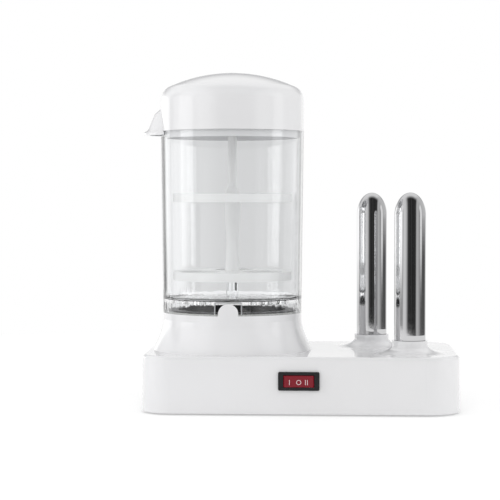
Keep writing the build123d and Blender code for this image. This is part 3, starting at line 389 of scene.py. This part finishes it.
def plastic(name, rgb, gloss, spread, pebble, depth, coat=0.0, bend=1.5):
    """Moulded plastic finish from the shared skin group; bend is its refractive index."""
    cloud_share = 0.965
    material, tree, shader = start_material(name)
    tone = tuple(rgb)
    skin = place_group(tree, "moulded", {
        "Colour": tone, "Shade": darker(tone, cloud_share), "Gloss": gloss, "Gloss spread": spread,
        "Pebble": pebble})
    tree.links.new(skin.outputs["Colour"], shader.inputs["Base Color"])
    tree.links.new(skin.outputs["Roughness"], shader.inputs["Roughness"])
    shader.inputs["IOR"].default_value = bend
    shader.inputs["Coat Weight"].default_value = coat
    shader.inputs["Coat Roughness"].default_value = 0.06
    bump(tree, shader, skin.outputs["Height"], strength=depth, distance=0.2 * MM)
    return material


def metal(name, rgb, gloss, ring_depth, rings, depth):
    """Turned metal finish from the shared ring group."""
    cloud_share = 0.86
    material, tree, shader = start_material(name)
    tone = tuple(rgb)
    turned = place_group(tree, "turned", {"Gloss": gloss, "Ring depth": ring_depth, "Rings": rings})
    clouded = blend(tree, turned.outputs["Tone"], tone, darker(tone, cloud_share))
    tree.links.new(clouded, shader.inputs["Base Color"])
    tree.links.new(turned.outputs["Roughness"], shader.inputs["Roughness"])
    shader.inputs["Metallic"].default_value = 1.0
    bump(tree, shader, turned.outputs["Height"], strength=depth, distance=0.1 * MM)
    return material


def flecked(name, rgb, fleck, gloss, size, depth):
    """Flecked finish from the shared speck group."""
    material, tree, shader = start_material(name)
    specks = place_group(tree, "flecks", {"Colour": tuple(rgb), "Fleck": fleck, "Gloss": gloss, "Size": size})
    tree.links.new(specks.outputs["Colour"], shader.inputs["Base Color"])
    tree.links.new(specks.outputs["Roughness"], shader.inputs["Roughness"])
    bump(tree, shader, specks.outputs["Height"], strength=depth, distance=0.2 * MM)
    return material


def mix_surface(tree, share, first, second):
    """Makes a material's surface a mix of two shaders by a share."""
    choose = tree.nodes.new("ShaderNodeMixShader")
    tree.links.new(share, choose.inputs["Fac"])
    tree.links.new(first, choose.inputs[1])
    tree.links.new(second, choose.inputs[2])
    tree.links.new(choose.outputs["Shader"], tree.nodes["Material Output"].inputs["Surface"])


def clear_plastic(name, rgb, passing, gloss, scuff, ripple):
    """Clear polished plastic that bends light and lets lamps shine through to what stands in it."""
    material, tree, shader = start_material(name)
    scuffs = place_group(tree, "scuffs", {"Gloss": gloss, "Scuff": scuff, "Ripple": ripple})
    shader.inputs["Base Color"].default_value = (*rgb, 1.0)
    shader.inputs["Transmission Weight"].default_value = 1.0
    shader.inputs["IOR"].default_value = 1.49
    tree.links.new(scuffs.outputs["Roughness"], shader.inputs["Roughness"])
    bump(tree, shader, scuffs.outputs["Height"], strength=0.05, distance=1.0 * MM)
    open_glass = tree.nodes.new("ShaderNodeBsdfTransparent")
    open_glass.inputs["Color"].default_value = (*passing, 1.0)
    path = tree.nodes.new("ShaderNodeLightPath")
    through = sums(tree, "MAXIMUM", path.outputs["Is Shadow Ray"], path.outputs["Is Diffuse Ray"])
    mix_surface(tree, through, shader.outputs["BSDF"], open_glass.outputs["BSDF"])
    return material


finishes = {}


def finish_makers(tint):
    """How each finish is made from the panel's colours."""
    return {
        "shell": lambda: plastic("glossy_white_shell", tint.shell, gloss=0.14, spread=0.08, pebble=1500.0,
                                 depth=0.02, coat=0.8),
        "satin": lambda: plastic("satin_white_moulding", tint.tray, gloss=0.3, spread=0.12, pebble=1200.0,
                                 depth=0.05),
        "clear": lambda: clear_plastic("clear_jar_plastic", tint.clear, tint.passing, gloss=0.015, scuff=0.12,
                                       ripple=9.0),
        "frosted": lambda: clear_plastic("frosted_lip_plastic", tint.clear, tint.passing, gloss=0.5,
                                         scuff=0.2, ripple=2.0),
        "steel": lambda: metal("polished_spike_steel", tint.steel, gloss=0.03, ring_depth=0.05, rings=700.0,
                               depth=0.02),
        "zinc": lambda: metal("zinc_plated_steel", tint.zinc, gloss=0.24, ring_depth=0.2, rings=1600.0,
                              depth=0.06),
        "element": lambda: metal("heat_toned_element", tint.element, gloss=0.38, ring_depth=0.22, rings=300.0,
                                 depth=0.08),
        "brass": lambda: metal("brass_contact", tint.brass, gloss=0.2, ring_depth=0.16, rings=1200.0,
                               depth=0.05),
        "coating": lambda: flecked("non_stick_coating", tint.coating, fleck=(0.09, 0.09, 0.095), gloss=0.32,
                                   size=1100.0, depth=0.08),
        "ceramic": lambda: flecked("unglazed_ceramic", tint.ceramic, fleck=(0.8, 0.78, 0.72), gloss=0.62,
                                   size=1500.0, depth=0.1),
        "rubber": lambda: flecked("foot_rubber", tint.rubber, fleck=(0.05, 0.05, 0.05), gloss=0.6,
                                  size=2200.0, depth=0.12),
        "silicone": lambda: flecked("gasket_silicone", tint.silicone, fleck=(0.6, 0.6, 0.58), gloss=0.5,
                                    size=1800.0, depth=0.06),
        "black": lambda: plastic("black_switch_plastic", tint.black, gloss=0.3, spread=0.14, pebble=2400.0,
                                 depth=0.1, bend=1.4),
        "block": lambda: plastic("terminal_block_plastic", tint.block, gloss=0.42, spread=0.14, pebble=1600.0,
                                 depth=0.1),
        "feed": lambda: plastic("feed_lead_insulation", tint.feed, gloss=0.36, spread=0.12, pebble=1800.0,
                                depth=0.06),
        "back": lambda: plastic("return_lead_insulation", tint.back, gloss=0.36, spread=0.12, pebble=1800.0,
                                depth=0.06),
        "red": lambda: plastic("red_rocker_plastic", tint.red, gloss=0.18, spread=0.1, pebble=2000.0,
                               depth=0.03, bend=1.36),
        "ink": lambda: plastic("white_rocker_ink", tint.mark, gloss=0.45, spread=0.1, pebble=3000.0,
                               depth=0.05),
    }


def finish(name):
    """The finish of that name, made once."""
    if name not in finishes:
        finishes[name] = finish_makers(colours())[name]()
    return finishes[name]


def dress(looks):
    """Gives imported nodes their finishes, from a dictionary of node and finish names."""
    for node, finish_name in looks.items():
        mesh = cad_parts[node].data
        mesh.materials.clear()
        mesh.materials.append(finish(finish_name))


# Surfaces


def grid_faces(rows, columns):
    """Quads of a grid of points, row by row, closed from the last column to the first."""
    row, column = np.meshgrid(np.arange(rows - 1), np.arange(columns), indexing="ij")
    beside = (column + 1) % columns
    quads = np.stack([row * columns + column, row * columns + beside,
                      (row + 1) * columns + beside, (row + 1) * columns + column], axis=-1)
    return quads.reshape(-1, 4)


def smooth_mesh(name, points, faces):
    """Mesh of an array of points and a list of faces, shaded smooth."""
    mesh = bpy.data.meshes.new(name)
    mesh.from_pydata(points.tolist(), [], faces)
    mesh.polygons.foreach_set("use_smooth", np.ones(len(mesh.polygons), dtype=bool))
    return mesh


def tube_mesh(name, rings, ends):
    """Mesh of a stack of rings, rows by columns by xyz, closed at both ends by a fan to a point."""
    rows, columns = rings.shape[:2]
    points = np.concatenate([rings.reshape(-1, 3), ends])
    around = np.arange(columns)
    beside = (around + 1) % columns
    last = (rows - 1) * columns
    first_fan = np.stack([np.full(columns, rows * columns), beside, around], axis=-1)
    last_fan = np.stack([np.full(columns, rows * columns + 1), last + around, last + beside], axis=-1)
    faces = grid_faces(rows, columns).tolist() + first_fan.tolist() + last_fan.tolist()
    return smooth_mesh(name, points, faces)


def add_piece(mesh, finish_name, body, nodes=()):
    """Links a mesh as a piece that rides on a body, takes a slot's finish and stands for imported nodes."""
    mesh.materials.append(finish(finish_name))
    piece = bpy.data.objects.new(mesh.name, mesh)
    bpy.context.scene.collection.objects.link(piece)
    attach(piece, body)
    if nodes:
        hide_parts(*nodes)


class HOTDOG_OT_base(bpy.types.Operator):
    """Dress the base: housing, bottom cover, feet, screws and cord gland"""

    bl_idname = "hotdog.base"
    bl_label = "Base"

    def execute(self, context):
        dress({"base_housing": "shell", "bottom_cover": "satin", "rubber_feet": "rubber",
               "cover_screws": "zinc", "cord_gland": "black"})
        return {"FINISHED"}


class HOTDOG_OT_boiler(bpy.types.Operator):
    """Dress the boiler: pan, gasket, element, bracket, thermostat and fuse"""

    bl_idname = "hotdog.boiler"
    bl_label = "Boiler"

    def execute(self, context):
        dress({"boiler_pan": "coating", "pan_gasket": "silicone", "heating_ring": "element",
               "pan_bracket": "zinc", "bracket_screws": "zinc", "thermostat": "black",
               "thermal_fuse": "zinc"})
        return {"FINISHED"}


def notch_lip_mesh(name):
    """Rounded lip of the skirt's notch: a circle carried along the notch's edge on the tapered skirt.

    In x and z the edge runs up one side, round a quarter circle, along the top, round and down the other
    side, and y = -(r^2 - x^2)^0.5, where r grows evenly from the skirt's lower edge to the jar's rim.
    """
    side_steps, corner_steps, top_steps, section_steps = 12, 10, 24, 12
    size = sizes()
    low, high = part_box("jar")
    middle = (low + high) / 2
    half, top, corner = size.notch_half, size.notch_height, size.notch_corner
    side = np.linspace(2.0 * size.notch_lip, top - corner, side_steps, endpoint=False)
    bend = np.linspace(0.0, math.pi / 2, corner_steps, endpoint=False)
    across = np.linspace(corner - half, half - corner, top_steps, endpoint=False)
    x = np.concatenate([np.full_like(side, -half), corner - half - corner * np.cos(bend), across,
                        half - corner + corner * np.sin(bend), np.full_like(side, half)])
    z = np.concatenate([side, top - corner + corner * np.sin(bend), np.full_like(across, top),
                        top - corner + corner * np.cos(bend), side[::-1]])
    along = np.stack([np.gradient(x), np.gradient(z)])
    along = along / np.linalg.norm(along, axis=0)
    radius = size.skirt_radius + (middle.x - low.x - size.skirt_radius) * z / (high.z - low.z)
    y = -np.sqrt(radius ** 2 - x ** 2)
    turn = np.linspace(0.0, -2.0 * math.pi, section_steps, endpoint=False)
    sideways = size.notch_lip * np.cos(turn)
    outward = size.notch_lip * np.sin(turn) / radius[:, None]
    rings = np.stack([middle.x + x[:, None] * (1.0 + outward) + along[1][:, None] * sideways,
                      middle.y + y[:, None] * (1.0 + outward),
                      low.z + z[:, None] - along[0][:, None] * sideways], axis=-1)
    return tube_mesh(name, rings, rings[[0, -1]].mean(axis=1))


class HOTDOG_OT_jar(bpy.types.Operator):
    """Dress the jar and its trays, and round the lip of the skirt's notch"""

    bl_idname = "hotdog.jar"
    bl_label = "Jar and trays"

    def execute(self, context):
        dress({"jar": "clear", "lower_egg_tray": "satin", "upper_egg_tray": "satin"})
        add_piece(notch_lip_mesh("notch_lip"), "frosted", "jar")
        return {"FINISHED"}


class HOTDOG_OT_lid(bpy.types.Operator):
    """Dress the lid"""

    bl_idname = "hotdog.lid"
    bl_label = "Lid"

    def execute(self, context):
        dress({"lid": "shell"})
        return {"FINISHED"}


def bullet(t, radius, wall_top, height, bulge):
    """Bullet tip as a cubic curve, upright at the wall and level on the axis.

    With s = 1 - t: r = radius (s^3 + 3 s^2 t + 3 s t^2 bulge) and
    z = wall top + height (3 s^2 t bulge + 3 s t^2 + t^3).
    """
    s = 1.0 - t
    return (radius * (s ** 3 + 3.0 * s ** 2 * t + 3.0 * s * t ** 2 * bulge),
            wall_top + height * (3.0 * s ** 2 * t * bulge + 3.0 * s * t ** 2 + t ** 3))


def spike_mesh(name, node):
    """Bun spike: a closed tube profile turned about its own axis, each point on x = r cos a, y = r sin a.

    The profile is walked from the inner pole down the bore, round the foot's edge, up the neck, round the
    rolled edge that sits on the collar, up the straight wall and along the bullet tip to the outer pole.
    """
    tip_steps, edge_steps, bore_steps, wall_steps = 40, 7, 9, 24
    low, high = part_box(node)
    size = sizes()
    middle = (low + high) / 2
    radius = (high.x - low.x) / 2
    foot = radius - size.spike_foot_step
    bore = foot - size.spike_wall
    wall_top = high.z - size.spike_tip_height
    collar = wall_top - size.spike_wall_height
    edge = size.spike_foot_step / 2
    t = np.linspace(0.0, 1.0, tip_steps)[:-1]
    turn = np.linspace(0.0, math.pi / 2, edge_steps)
    inner_r, inner_z = bullet(t, bore, wall_top, size.spike_tip_height - size.spike_wall, size.spike_bulge)
    outer_r, outer_z = bullet(t, radius, wall_top, size.spike_tip_height, size.spike_bulge)
    inner_wall = np.linspace(wall_top, low.z, bore_steps)[1:]
    outer_wall = np.linspace(collar + edge, wall_top, wall_steps)[1:-1]
    r = np.concatenate([inner_r[::-1], np.full_like(inner_wall, bore), [foot, foot, foot],
                        radius - edge + edge * np.sin(turn), np.full_like(outer_wall, radius), outer_r])
    z = np.concatenate([inner_z[::-1], inner_wall, [low.z, (low.z + collar) / 2, collar],
                        collar + edge - edge * np.cos(turn), outer_wall, outer_z])
    angle = np.linspace(0.0, 2.0 * math.pi, size.steps_around, endpoint=False)
    rings = np.stack([middle.x + r[:, None] * np.cos(angle), middle.y + r[:, None] * np.sin(angle),
                      np.broadcast_to(z[:, None], (len(z), len(angle)))], axis=-1)
    ends = np.array([[middle.x, middle.y, high.z - size.spike_wall], [middle.x, middle.y, high.z]])
    return tube_mesh(name, rings, ends)


class HOTDOG_OT_spikes(bpy.types.Operator):
    """Turn the bun spikes and dress what holds and heats them"""

    bl_idname = "hotdog.spikes"
    bl_label = "Bun spikes"

    def execute(self, context):
        for node in ("rear_spike", "front_spike"):
            add_piece(spike_mesh(f"{node}_tube", node), "steel", "base", (node,))
        dress({"rear_spike_heater": "ceramic", "front_spike_heater": "ceramic",
               "rear_spike_bush": "ceramic", "front_spike_bush": "ceramic",
               "spike_flanges": "zinc", "spike_plate": "zinc", "spike_plate_screws": "zinc"})
        return {"FINISHED"}


def stroke_rings(across, up, side_across, side_up, share):
    """Rings of an inked stroke: an ellipse carried along a line on the rocker's face, half sunk in it.

    across and up give the line from the rocker's middle, side_across and side_up its sideways direction, and
    share how much of the full stroke each ring has. The face lies at
    y = ends + dip (1 - (2 across / face)^2).
    """
    section_steps = 12
    size = sizes()
    low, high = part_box("switch_rocker")
    middle = (low + high) / 2
    turn = np.linspace(0.0, -2.0 * math.pi, section_steps, endpoint=False)
    reach = size.mark_stroke / 2 * share[:, None] * np.cos(turn)
    x = across[:, None] + reach * side_across[:, None]
    z = up[:, None] + reach * side_up[:, None] - size.mark_drop
    face = low.y + size.rocker_dip * (1.0 - (2.0 * x / size.rocker_face) ** 2)
    y = face - size.mark_lift * share[:, None] * np.sin(turn)
    return np.stack([middle.x + x, y, middle.z + z], axis=-1)


def bar_mesh(name, place):
    """Upright bar mark: a stroke along z = -height / 2 cos a that rounds off to a point at both ends.

    The stroke is full where 4 sin a is over 1, and elsewhere it has the share (4 sin a)^0.5.
    """
    bar_steps = 26
    fullness = 4.0
    turn = np.linspace(0.0, math.pi, bar_steps)[1:-1]
    up = -sizes().mark_height / 2 * np.cos(turn)
    share = np.clip(fullness * np.sin(turn), 0.0, 1.0) ** 0.5
    rings = stroke_rings(np.full_like(up, place), up, np.ones_like(up), np.zeros_like(up), share)
    return tube_mesh(name, rings, rings[[0, -1]].mean(axis=1))


def ring_mesh(name):
    """Ring mark: a stroke round the circle x = r cos a, z = r sin a, its last ring joined to its first."""
    ring_steps = 48
    turn = np.linspace(0.0, 2.0 * math.pi, ring_steps, endpoint=False)
    radius = sizes().mark_ring
    side_across, side_up = np.cos(turn), np.sin(turn)
    rings = stroke_rings(radius * side_across, radius * side_up, side_across, side_up, np.ones_like(turn))
    rows, columns = rings.shape[:2]
    faces = grid_faces(rows + 1, columns) % (rows * columns)
    return smooth_mesh(name, rings.reshape(-1, 3), faces.tolist())


class HOTDOG_OT_switch(bpy.types.Operator):
    """Dress the switch, the terminal block and the leads, and ink the rocker's marks"""

    bl_idname = "hotdog.switch"
    bl_label = "Switch and leads"

    def execute(self, context):
        dress({"switch_body": "black", "switch_rocker": "red", "switch_terminals": "brass",
               "terminal_block": "block", "block_screws": "zinc"})
        leads = [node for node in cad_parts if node.endswith("_lead")]
        dress({node: "back" if "return" in node or node == "fuse_lead" else "feed" for node in leads})
        size = sizes()
        marks = [bar_mesh("single_bar_mark", -size.mark_left), ring_mesh("ring_mark"),
                 bar_mesh("double_bar_mark_left", size.mark_right - size.mark_pair / 2),
                 bar_mesh("double_bar_mark_right", size.mark_right + size.mark_pair / 2)]
        for mark in marks:
            add_piece(mark, "ink", "rocker")
        return {"FINISHED"}


# Studio

# Levels of the tent from its left edge at 0 to its right edge at 1, each a place and a brightness
mirrored_levels = (
    (0.0, 0.45), (0.05, 0.4), (0.12, 0.95), (0.22, 0.85), (0.27, 0.5), (0.35, 0.06), (0.5, 0.03),
    (0.56, 0.06), (0.6, 0.03), (0.79, 0.04), (0.87, 0.65), (0.93, 0.6), (0.97, 0.4), (1.0, 0.15))
backdrop_levels = (
    (0.0, 1.0), (0.17, 1.0), (0.2, 0.0), (0.32, 0.0), (0.355, 1.0), (0.43, 0.98), (0.448, 0.73), (0.5, 0.71),
    (0.53, 0.78), (0.555, 0.98), (0.68, 0.95), (0.72, 0.45), (0.82, 0.45), (0.86, 1.0), (1.0, 1.0))


def soft_box(name, place, aim, width, height, watts):
    """Rectangular lamp at a place, turned to its aim; mirrors see the tent's strips in its stead."""
    lamp = bpy.data.lights.new(name, "AREA")
    lamp.shape = "RECTANGLE"
    lamp.size = width
    lamp.size_y = height
    lamp.energy = watts
    holder = bpy.data.objects.new(name, lamp)
    holder.location = place
    holder.rotation_euler = (Vector(aim) - Vector(place)).to_track_quat("-Z", "Y").to_euler()
    holder.visible_glossy = False
    bpy.context.scene.collection.objects.link(holder)


def white_paper(name, setup):
    """Paper of the studio floor: lit by the lamps, and lifted to white where a ray that is seen meets it."""
    material, tree, shader = start_material(name)
    paper = place_group(tree, "moulded", {
        "Colour": tuple(colours().paper), "Shade": grey(0.94), "Gloss": 0.85, "Gloss spread": 0.05,
        "Pebble": 300.0})
    tree.links.new(paper.outputs["Colour"], shader.inputs["Base Color"])
    tree.links.new(paper.outputs["Roughness"], shader.inputs["Roughness"])
    shader.inputs["Specular IOR Level"].default_value = 0.0
    glow = tree.nodes.new("ShaderNodeEmission")
    glow.inputs["Color"].default_value = (*grey(1.0), 1.0)
    glow.inputs["Strength"].default_value = setup.paper_glow
    path = tree.nodes.new("ShaderNodeLightPath")
    seen = sums(tree, "MAXIMUM", path.outputs["Is Camera Ray"], path.outputs["Is Glossy Ray"])
    seen = sums(tree, "MAXIMUM", seen, path.outputs["Is Transmission Ray"])
    share = sums(tree, "MULTIPLY", seen, setup.paper_share)
    mix_surface(tree, share, shader.outputs["BSDF"], glow.outputs["Emission"])
    return material


def round_floor(setup):
    """Floor of the studio: rings of points x = r cos a, y = r sin a at z = 0, closed by a fan at the middle.

    The rings lie closer together near the middle: r = radius s^1.5, with s in even steps.
    """
    ring_count, ring_steps, first_share, crowding = 12, 96, 0.05, 1.5
    reach = np.linspace(first_share, 1.0, ring_count) ** crowding * setup.floor_radius
    angle = np.linspace(0.0, 2.0 * math.pi, ring_steps, endpoint=False)
    x = reach[:, None] * np.cos(angle)
    y = reach[:, None] * np.sin(angle)
    points = np.stack([x, y, np.zeros_like(x)], axis=-1).reshape(-1, 3)
    around = np.arange(ring_steps)
    fan = np.stack([np.full(ring_steps, len(points)), around, (around + 1) % ring_steps], axis=-1)
    faces = grid_faces(ring_count, ring_steps)[:, ::-1].tolist() + fan.tolist()
    mesh = bpy.data.meshes.new("studio_floor")
    mesh.from_pydata(points.tolist() + [[0.0, 0.0, 0.0]], [], faces)
    mesh.materials.append(white_paper("studio_paper", setup))
    floor = bpy.data.objects.new("studio_floor", mesh)
    bpy.context.scene.collection.objects.link(floor)


def tent_level(tree, share, levels):
    """Brightness of the tent along a share of 0 to 1, eased from stop to stop."""
    stops = tree.nodes.new("ShaderNodeValToRGB")
    stops.color_ramp.interpolation = "EASE"
    stops.color_ramp.elements.remove(stops.color_ramp.elements[1])
    first_place, first_level = levels[0]
    stops.color_ramp.elements[0].position = first_place
    stops.color_ramp.elements[0].color = (*grey(first_level), 1.0)
    for place, level in levels[1:]:
        stops.color_ramp.elements.new(place).color = (*grey(level), 1.0)
    tree.links.new(share, stops.inputs["Fac"])
    return stops.outputs["Color"]


def far_walls(tree, side, height):
    """Walls behind the object as mirrors see them: white, with a dim roof, right wall, gap and left slit."""
    aside = ramp(tree, sums(tree, "ABSOLUTE", side, 0.0), off=0.5, on=0.85)
    band = window(tree, height, opens=(0.12, 0.3), closes=(0.3, 0.6))
    roof = sums(tree, "MULTIPLY", band, sums(tree, "SUBTRACT", 1.0, aside))
    right_wall = ramp(tree, side, off=0.45, on=0.65)
    below = ramp(tree, height, off=0.0, on=-0.04)
    gap = sums(tree, "MULTIPLY", ramp(tree, side, off=0.66, on=0.74), below)
    slit = window(tree, side, opens=(-0.99, -0.95), closes=(-0.9, -0.86))
    walls = blend(tree, roof, grey(1.0), (0.42, 0.42, 0.43))
    walls = blend(tree, right_wall, walls, grey(0.75))
    walls = blend(tree, gap, walls, grey(0.12))
    return blend(tree, slit, walls, grey(0.4))


def strip(tree, side, depth, reaches, opens, closes):
    """Upright strip of the tent: a window in depth, kept to the side that it reaches."""
    return sums(tree, "MULTIPLY", window(tree, depth, opens, closes), ramp(tree, side, *reaches))


def lit_strips(tree, walls, side, depth, height):
    """Tent with the bright strips that mirrors see in place of the soft boxes."""
    left = strip(tree, side, depth, reaches=(-0.76, -0.84), opens=(-0.5, -0.42), closes=(-0.02, 0.06))
    right = strip(tree, side, depth, reaches=(0.86, 0.92), opens=(-0.32, -0.26), closes=(0.02, 0.08))
    rim = strip(tree, side, depth, reaches=(-0.4, -0.5), opens=(0.4, 0.5), closes=(0.85, 0.92))
    tall = window(tree, height, opens=(-0.07, -0.02), closes=(0.45, 0.6))
    low = window(tree, height, opens=(-0.07, -0.02), closes=(0.12, 0.2))
    plain = sums(tree, "MULTIPLY", sums(tree, "ADD", left, right), tall)
    bright = sums(tree, "MULTIPLY", sums(tree, "ADD", left, rim), low)
    return blend(tree, bright, blend(tree, plain, walls, grey(1.1)), grey(1.6))


def white_tent(setup):
    """World of the studio: white to the camera, a tent with dark gaps to mirrors, even light to the rest."""
    world = bpy.data.worlds.new("white_tent")
    world.use_nodes = True
    tree = world.node_tree
    parts = tree.nodes.new("ShaderNodeSeparateXYZ")
    tree.links.new(tree.nodes.new("ShaderNodeTexCoord").outputs["Generated"], parts.inputs["Vector"])
    side, depth, height = parts.outputs["X"], parts.outputs["Y"], parts.outputs["Z"]
    across = sums(tree, "MULTIPLY_ADD", side, 0.5, 0.5)
    far = ramp(tree, depth, off=-0.3, on=0.3)
    near = sums(tree, "SUBTRACT", 1.0, far)
    walls = blend(tree, far, tent_level(tree, across, mirrored_levels), far_walls(tree, side, height))
    mirrored = lit_strips(tree, walls, side, depth, height)
    steep = ramp(tree, sums(tree, "ABSOLUTE", height, 0.0), off=0.08, on=0.16)
    plain = sums(tree, "MAXIMUM", steep, near)
    through = blend(tree, plain, tent_level(tree, across, backdrop_levels), grey(1.0))
    path = tree.nodes.new("ShaderNodeLightPath")
    seen = blend(tree, path.outputs["Is Glossy Ray"], grey(setup.sky), mirrored)
    seen = blend(tree, path.outputs["Is Transmission Ray"], seen, through)
    seen = blend(tree, path.outputs["Is Camera Ray"], seen, grey(1.0))
    tree.links.new(seen, tree.nodes["Background"].inputs["Color"])
    return world


class HOTDOG_OT_stage(bpy.types.Operator):
    """Set the floor, the white tent, the soft boxes and the camera"""

    bl_idname = "hotdog.stage"
    bl_label = "Studio"

    def execute(self, context):
        scene = context.scene
        setup = scene.hot_dog_stage
        scene.view_settings.view_transform = "Standard"
        round_floor(setup)
        scene.world = white_tent(setup)
        soft_box("left_soft_box", place=(-1.2, -0.3, 0.55), aim=(-0.05, 0.0, 0.12), width=0.6, height=1.1,
                 watts=setup.key_watts)
        soft_box("right_soft_box", place=(1.2, -0.2, 0.55), aim=(0.0, 0.0, 0.12), width=0.5, height=1.1,
                 watts=setup.fill_watts)
        soft_box("front_soft_box", place=(-0.3, -1.5, 1.1), aim=(0.0, 0.0, 0.1), width=0.9, height=0.7,
                 watts=setup.front_watts)
        camera = bpy.data.objects.new("camera", bpy.data.cameras.new("camera"))
        camera.data.lens = setup.lens
        camera.data.sensor_width = 36.0
        camera.data.clip_start = 0.05
        camera.data.clip_end = 50.0
        place = Vector((setup.camera_x, -setup.camera_distance, setup.camera_height))
        aim = Vector((setup.aim_x, 0.0, setup.aim_z))
        camera.location = place
        camera.rotation_euler = (aim - place).to_track_quat("-Z", "Y").to_euler()
        scene.collection.objects.link(camera)
        scene.camera = camera
        return {"FINISHED"}


# Panel and start


class HOTDOG_PT_panel(bpy.types.Panel):
    """Lists the pieces and their settings"""

    bl_label = "Hot Dog Maker"
    bl_idname = "HOTDOG_PT_panel"
    bl_space_type = "VIEW_3D"
    bl_region_type = "UI"
    bl_category = "Hot Dog Maker"

    def draw(self, context):
        for operator in making_order:
            self.layout.operator(operator.bl_idname)
        for settings in settings_groups:
            group = getattr(context.scene, settings)
            box = self.layout.box()
            for name in group.bl_rna.properties.keys():
                if name not in ("rna_type", "name"):
                    box.prop(group, name)


making_order = (HOTDOG_OT_base, HOTDOG_OT_boiler, HOTDOG_OT_jar, HOTDOG_OT_lid, HOTDOG_OT_spikes,
                HOTDOG_OT_switch, HOTDOG_OT_stage)
settings_groups = {"hot_dog_sizes": HotDogSizes, "hot_dog_colours": HotDogColours,
                   "hot_dog_stage": HotDogStage}
classes = (*settings_groups.values(), *making_order, HOTDOG_PT_panel)


def register():
    """Registers the classes and hangs their settings on the scene."""
    for made in classes:
        bpy.utils.register_class(made)
    for name, group in settings_groups.items():
        setattr(bpy.types.Scene, name, PointerProperty(type=group))


def unregister():
    """Takes the settings and classes away again."""
    for name in settings_groups:
        delattr(bpy.types.Scene, name)
    for made in reversed(classes):
        bpy.utils.unregister_class(made)


def main():
    """Registers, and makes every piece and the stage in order."""
    register()
    bpy.ops.hotdog.base()
    bpy.ops.hotdog.boiler()
    bpy.ops.hotdog.jar()
    bpy.ops.hotdog.lid()
    bpy.ops.hotdog.spikes()
    bpy.ops.hotdog.switch()
    bpy.ops.hotdog.stage()


if __name__ == "__main__":
    main()
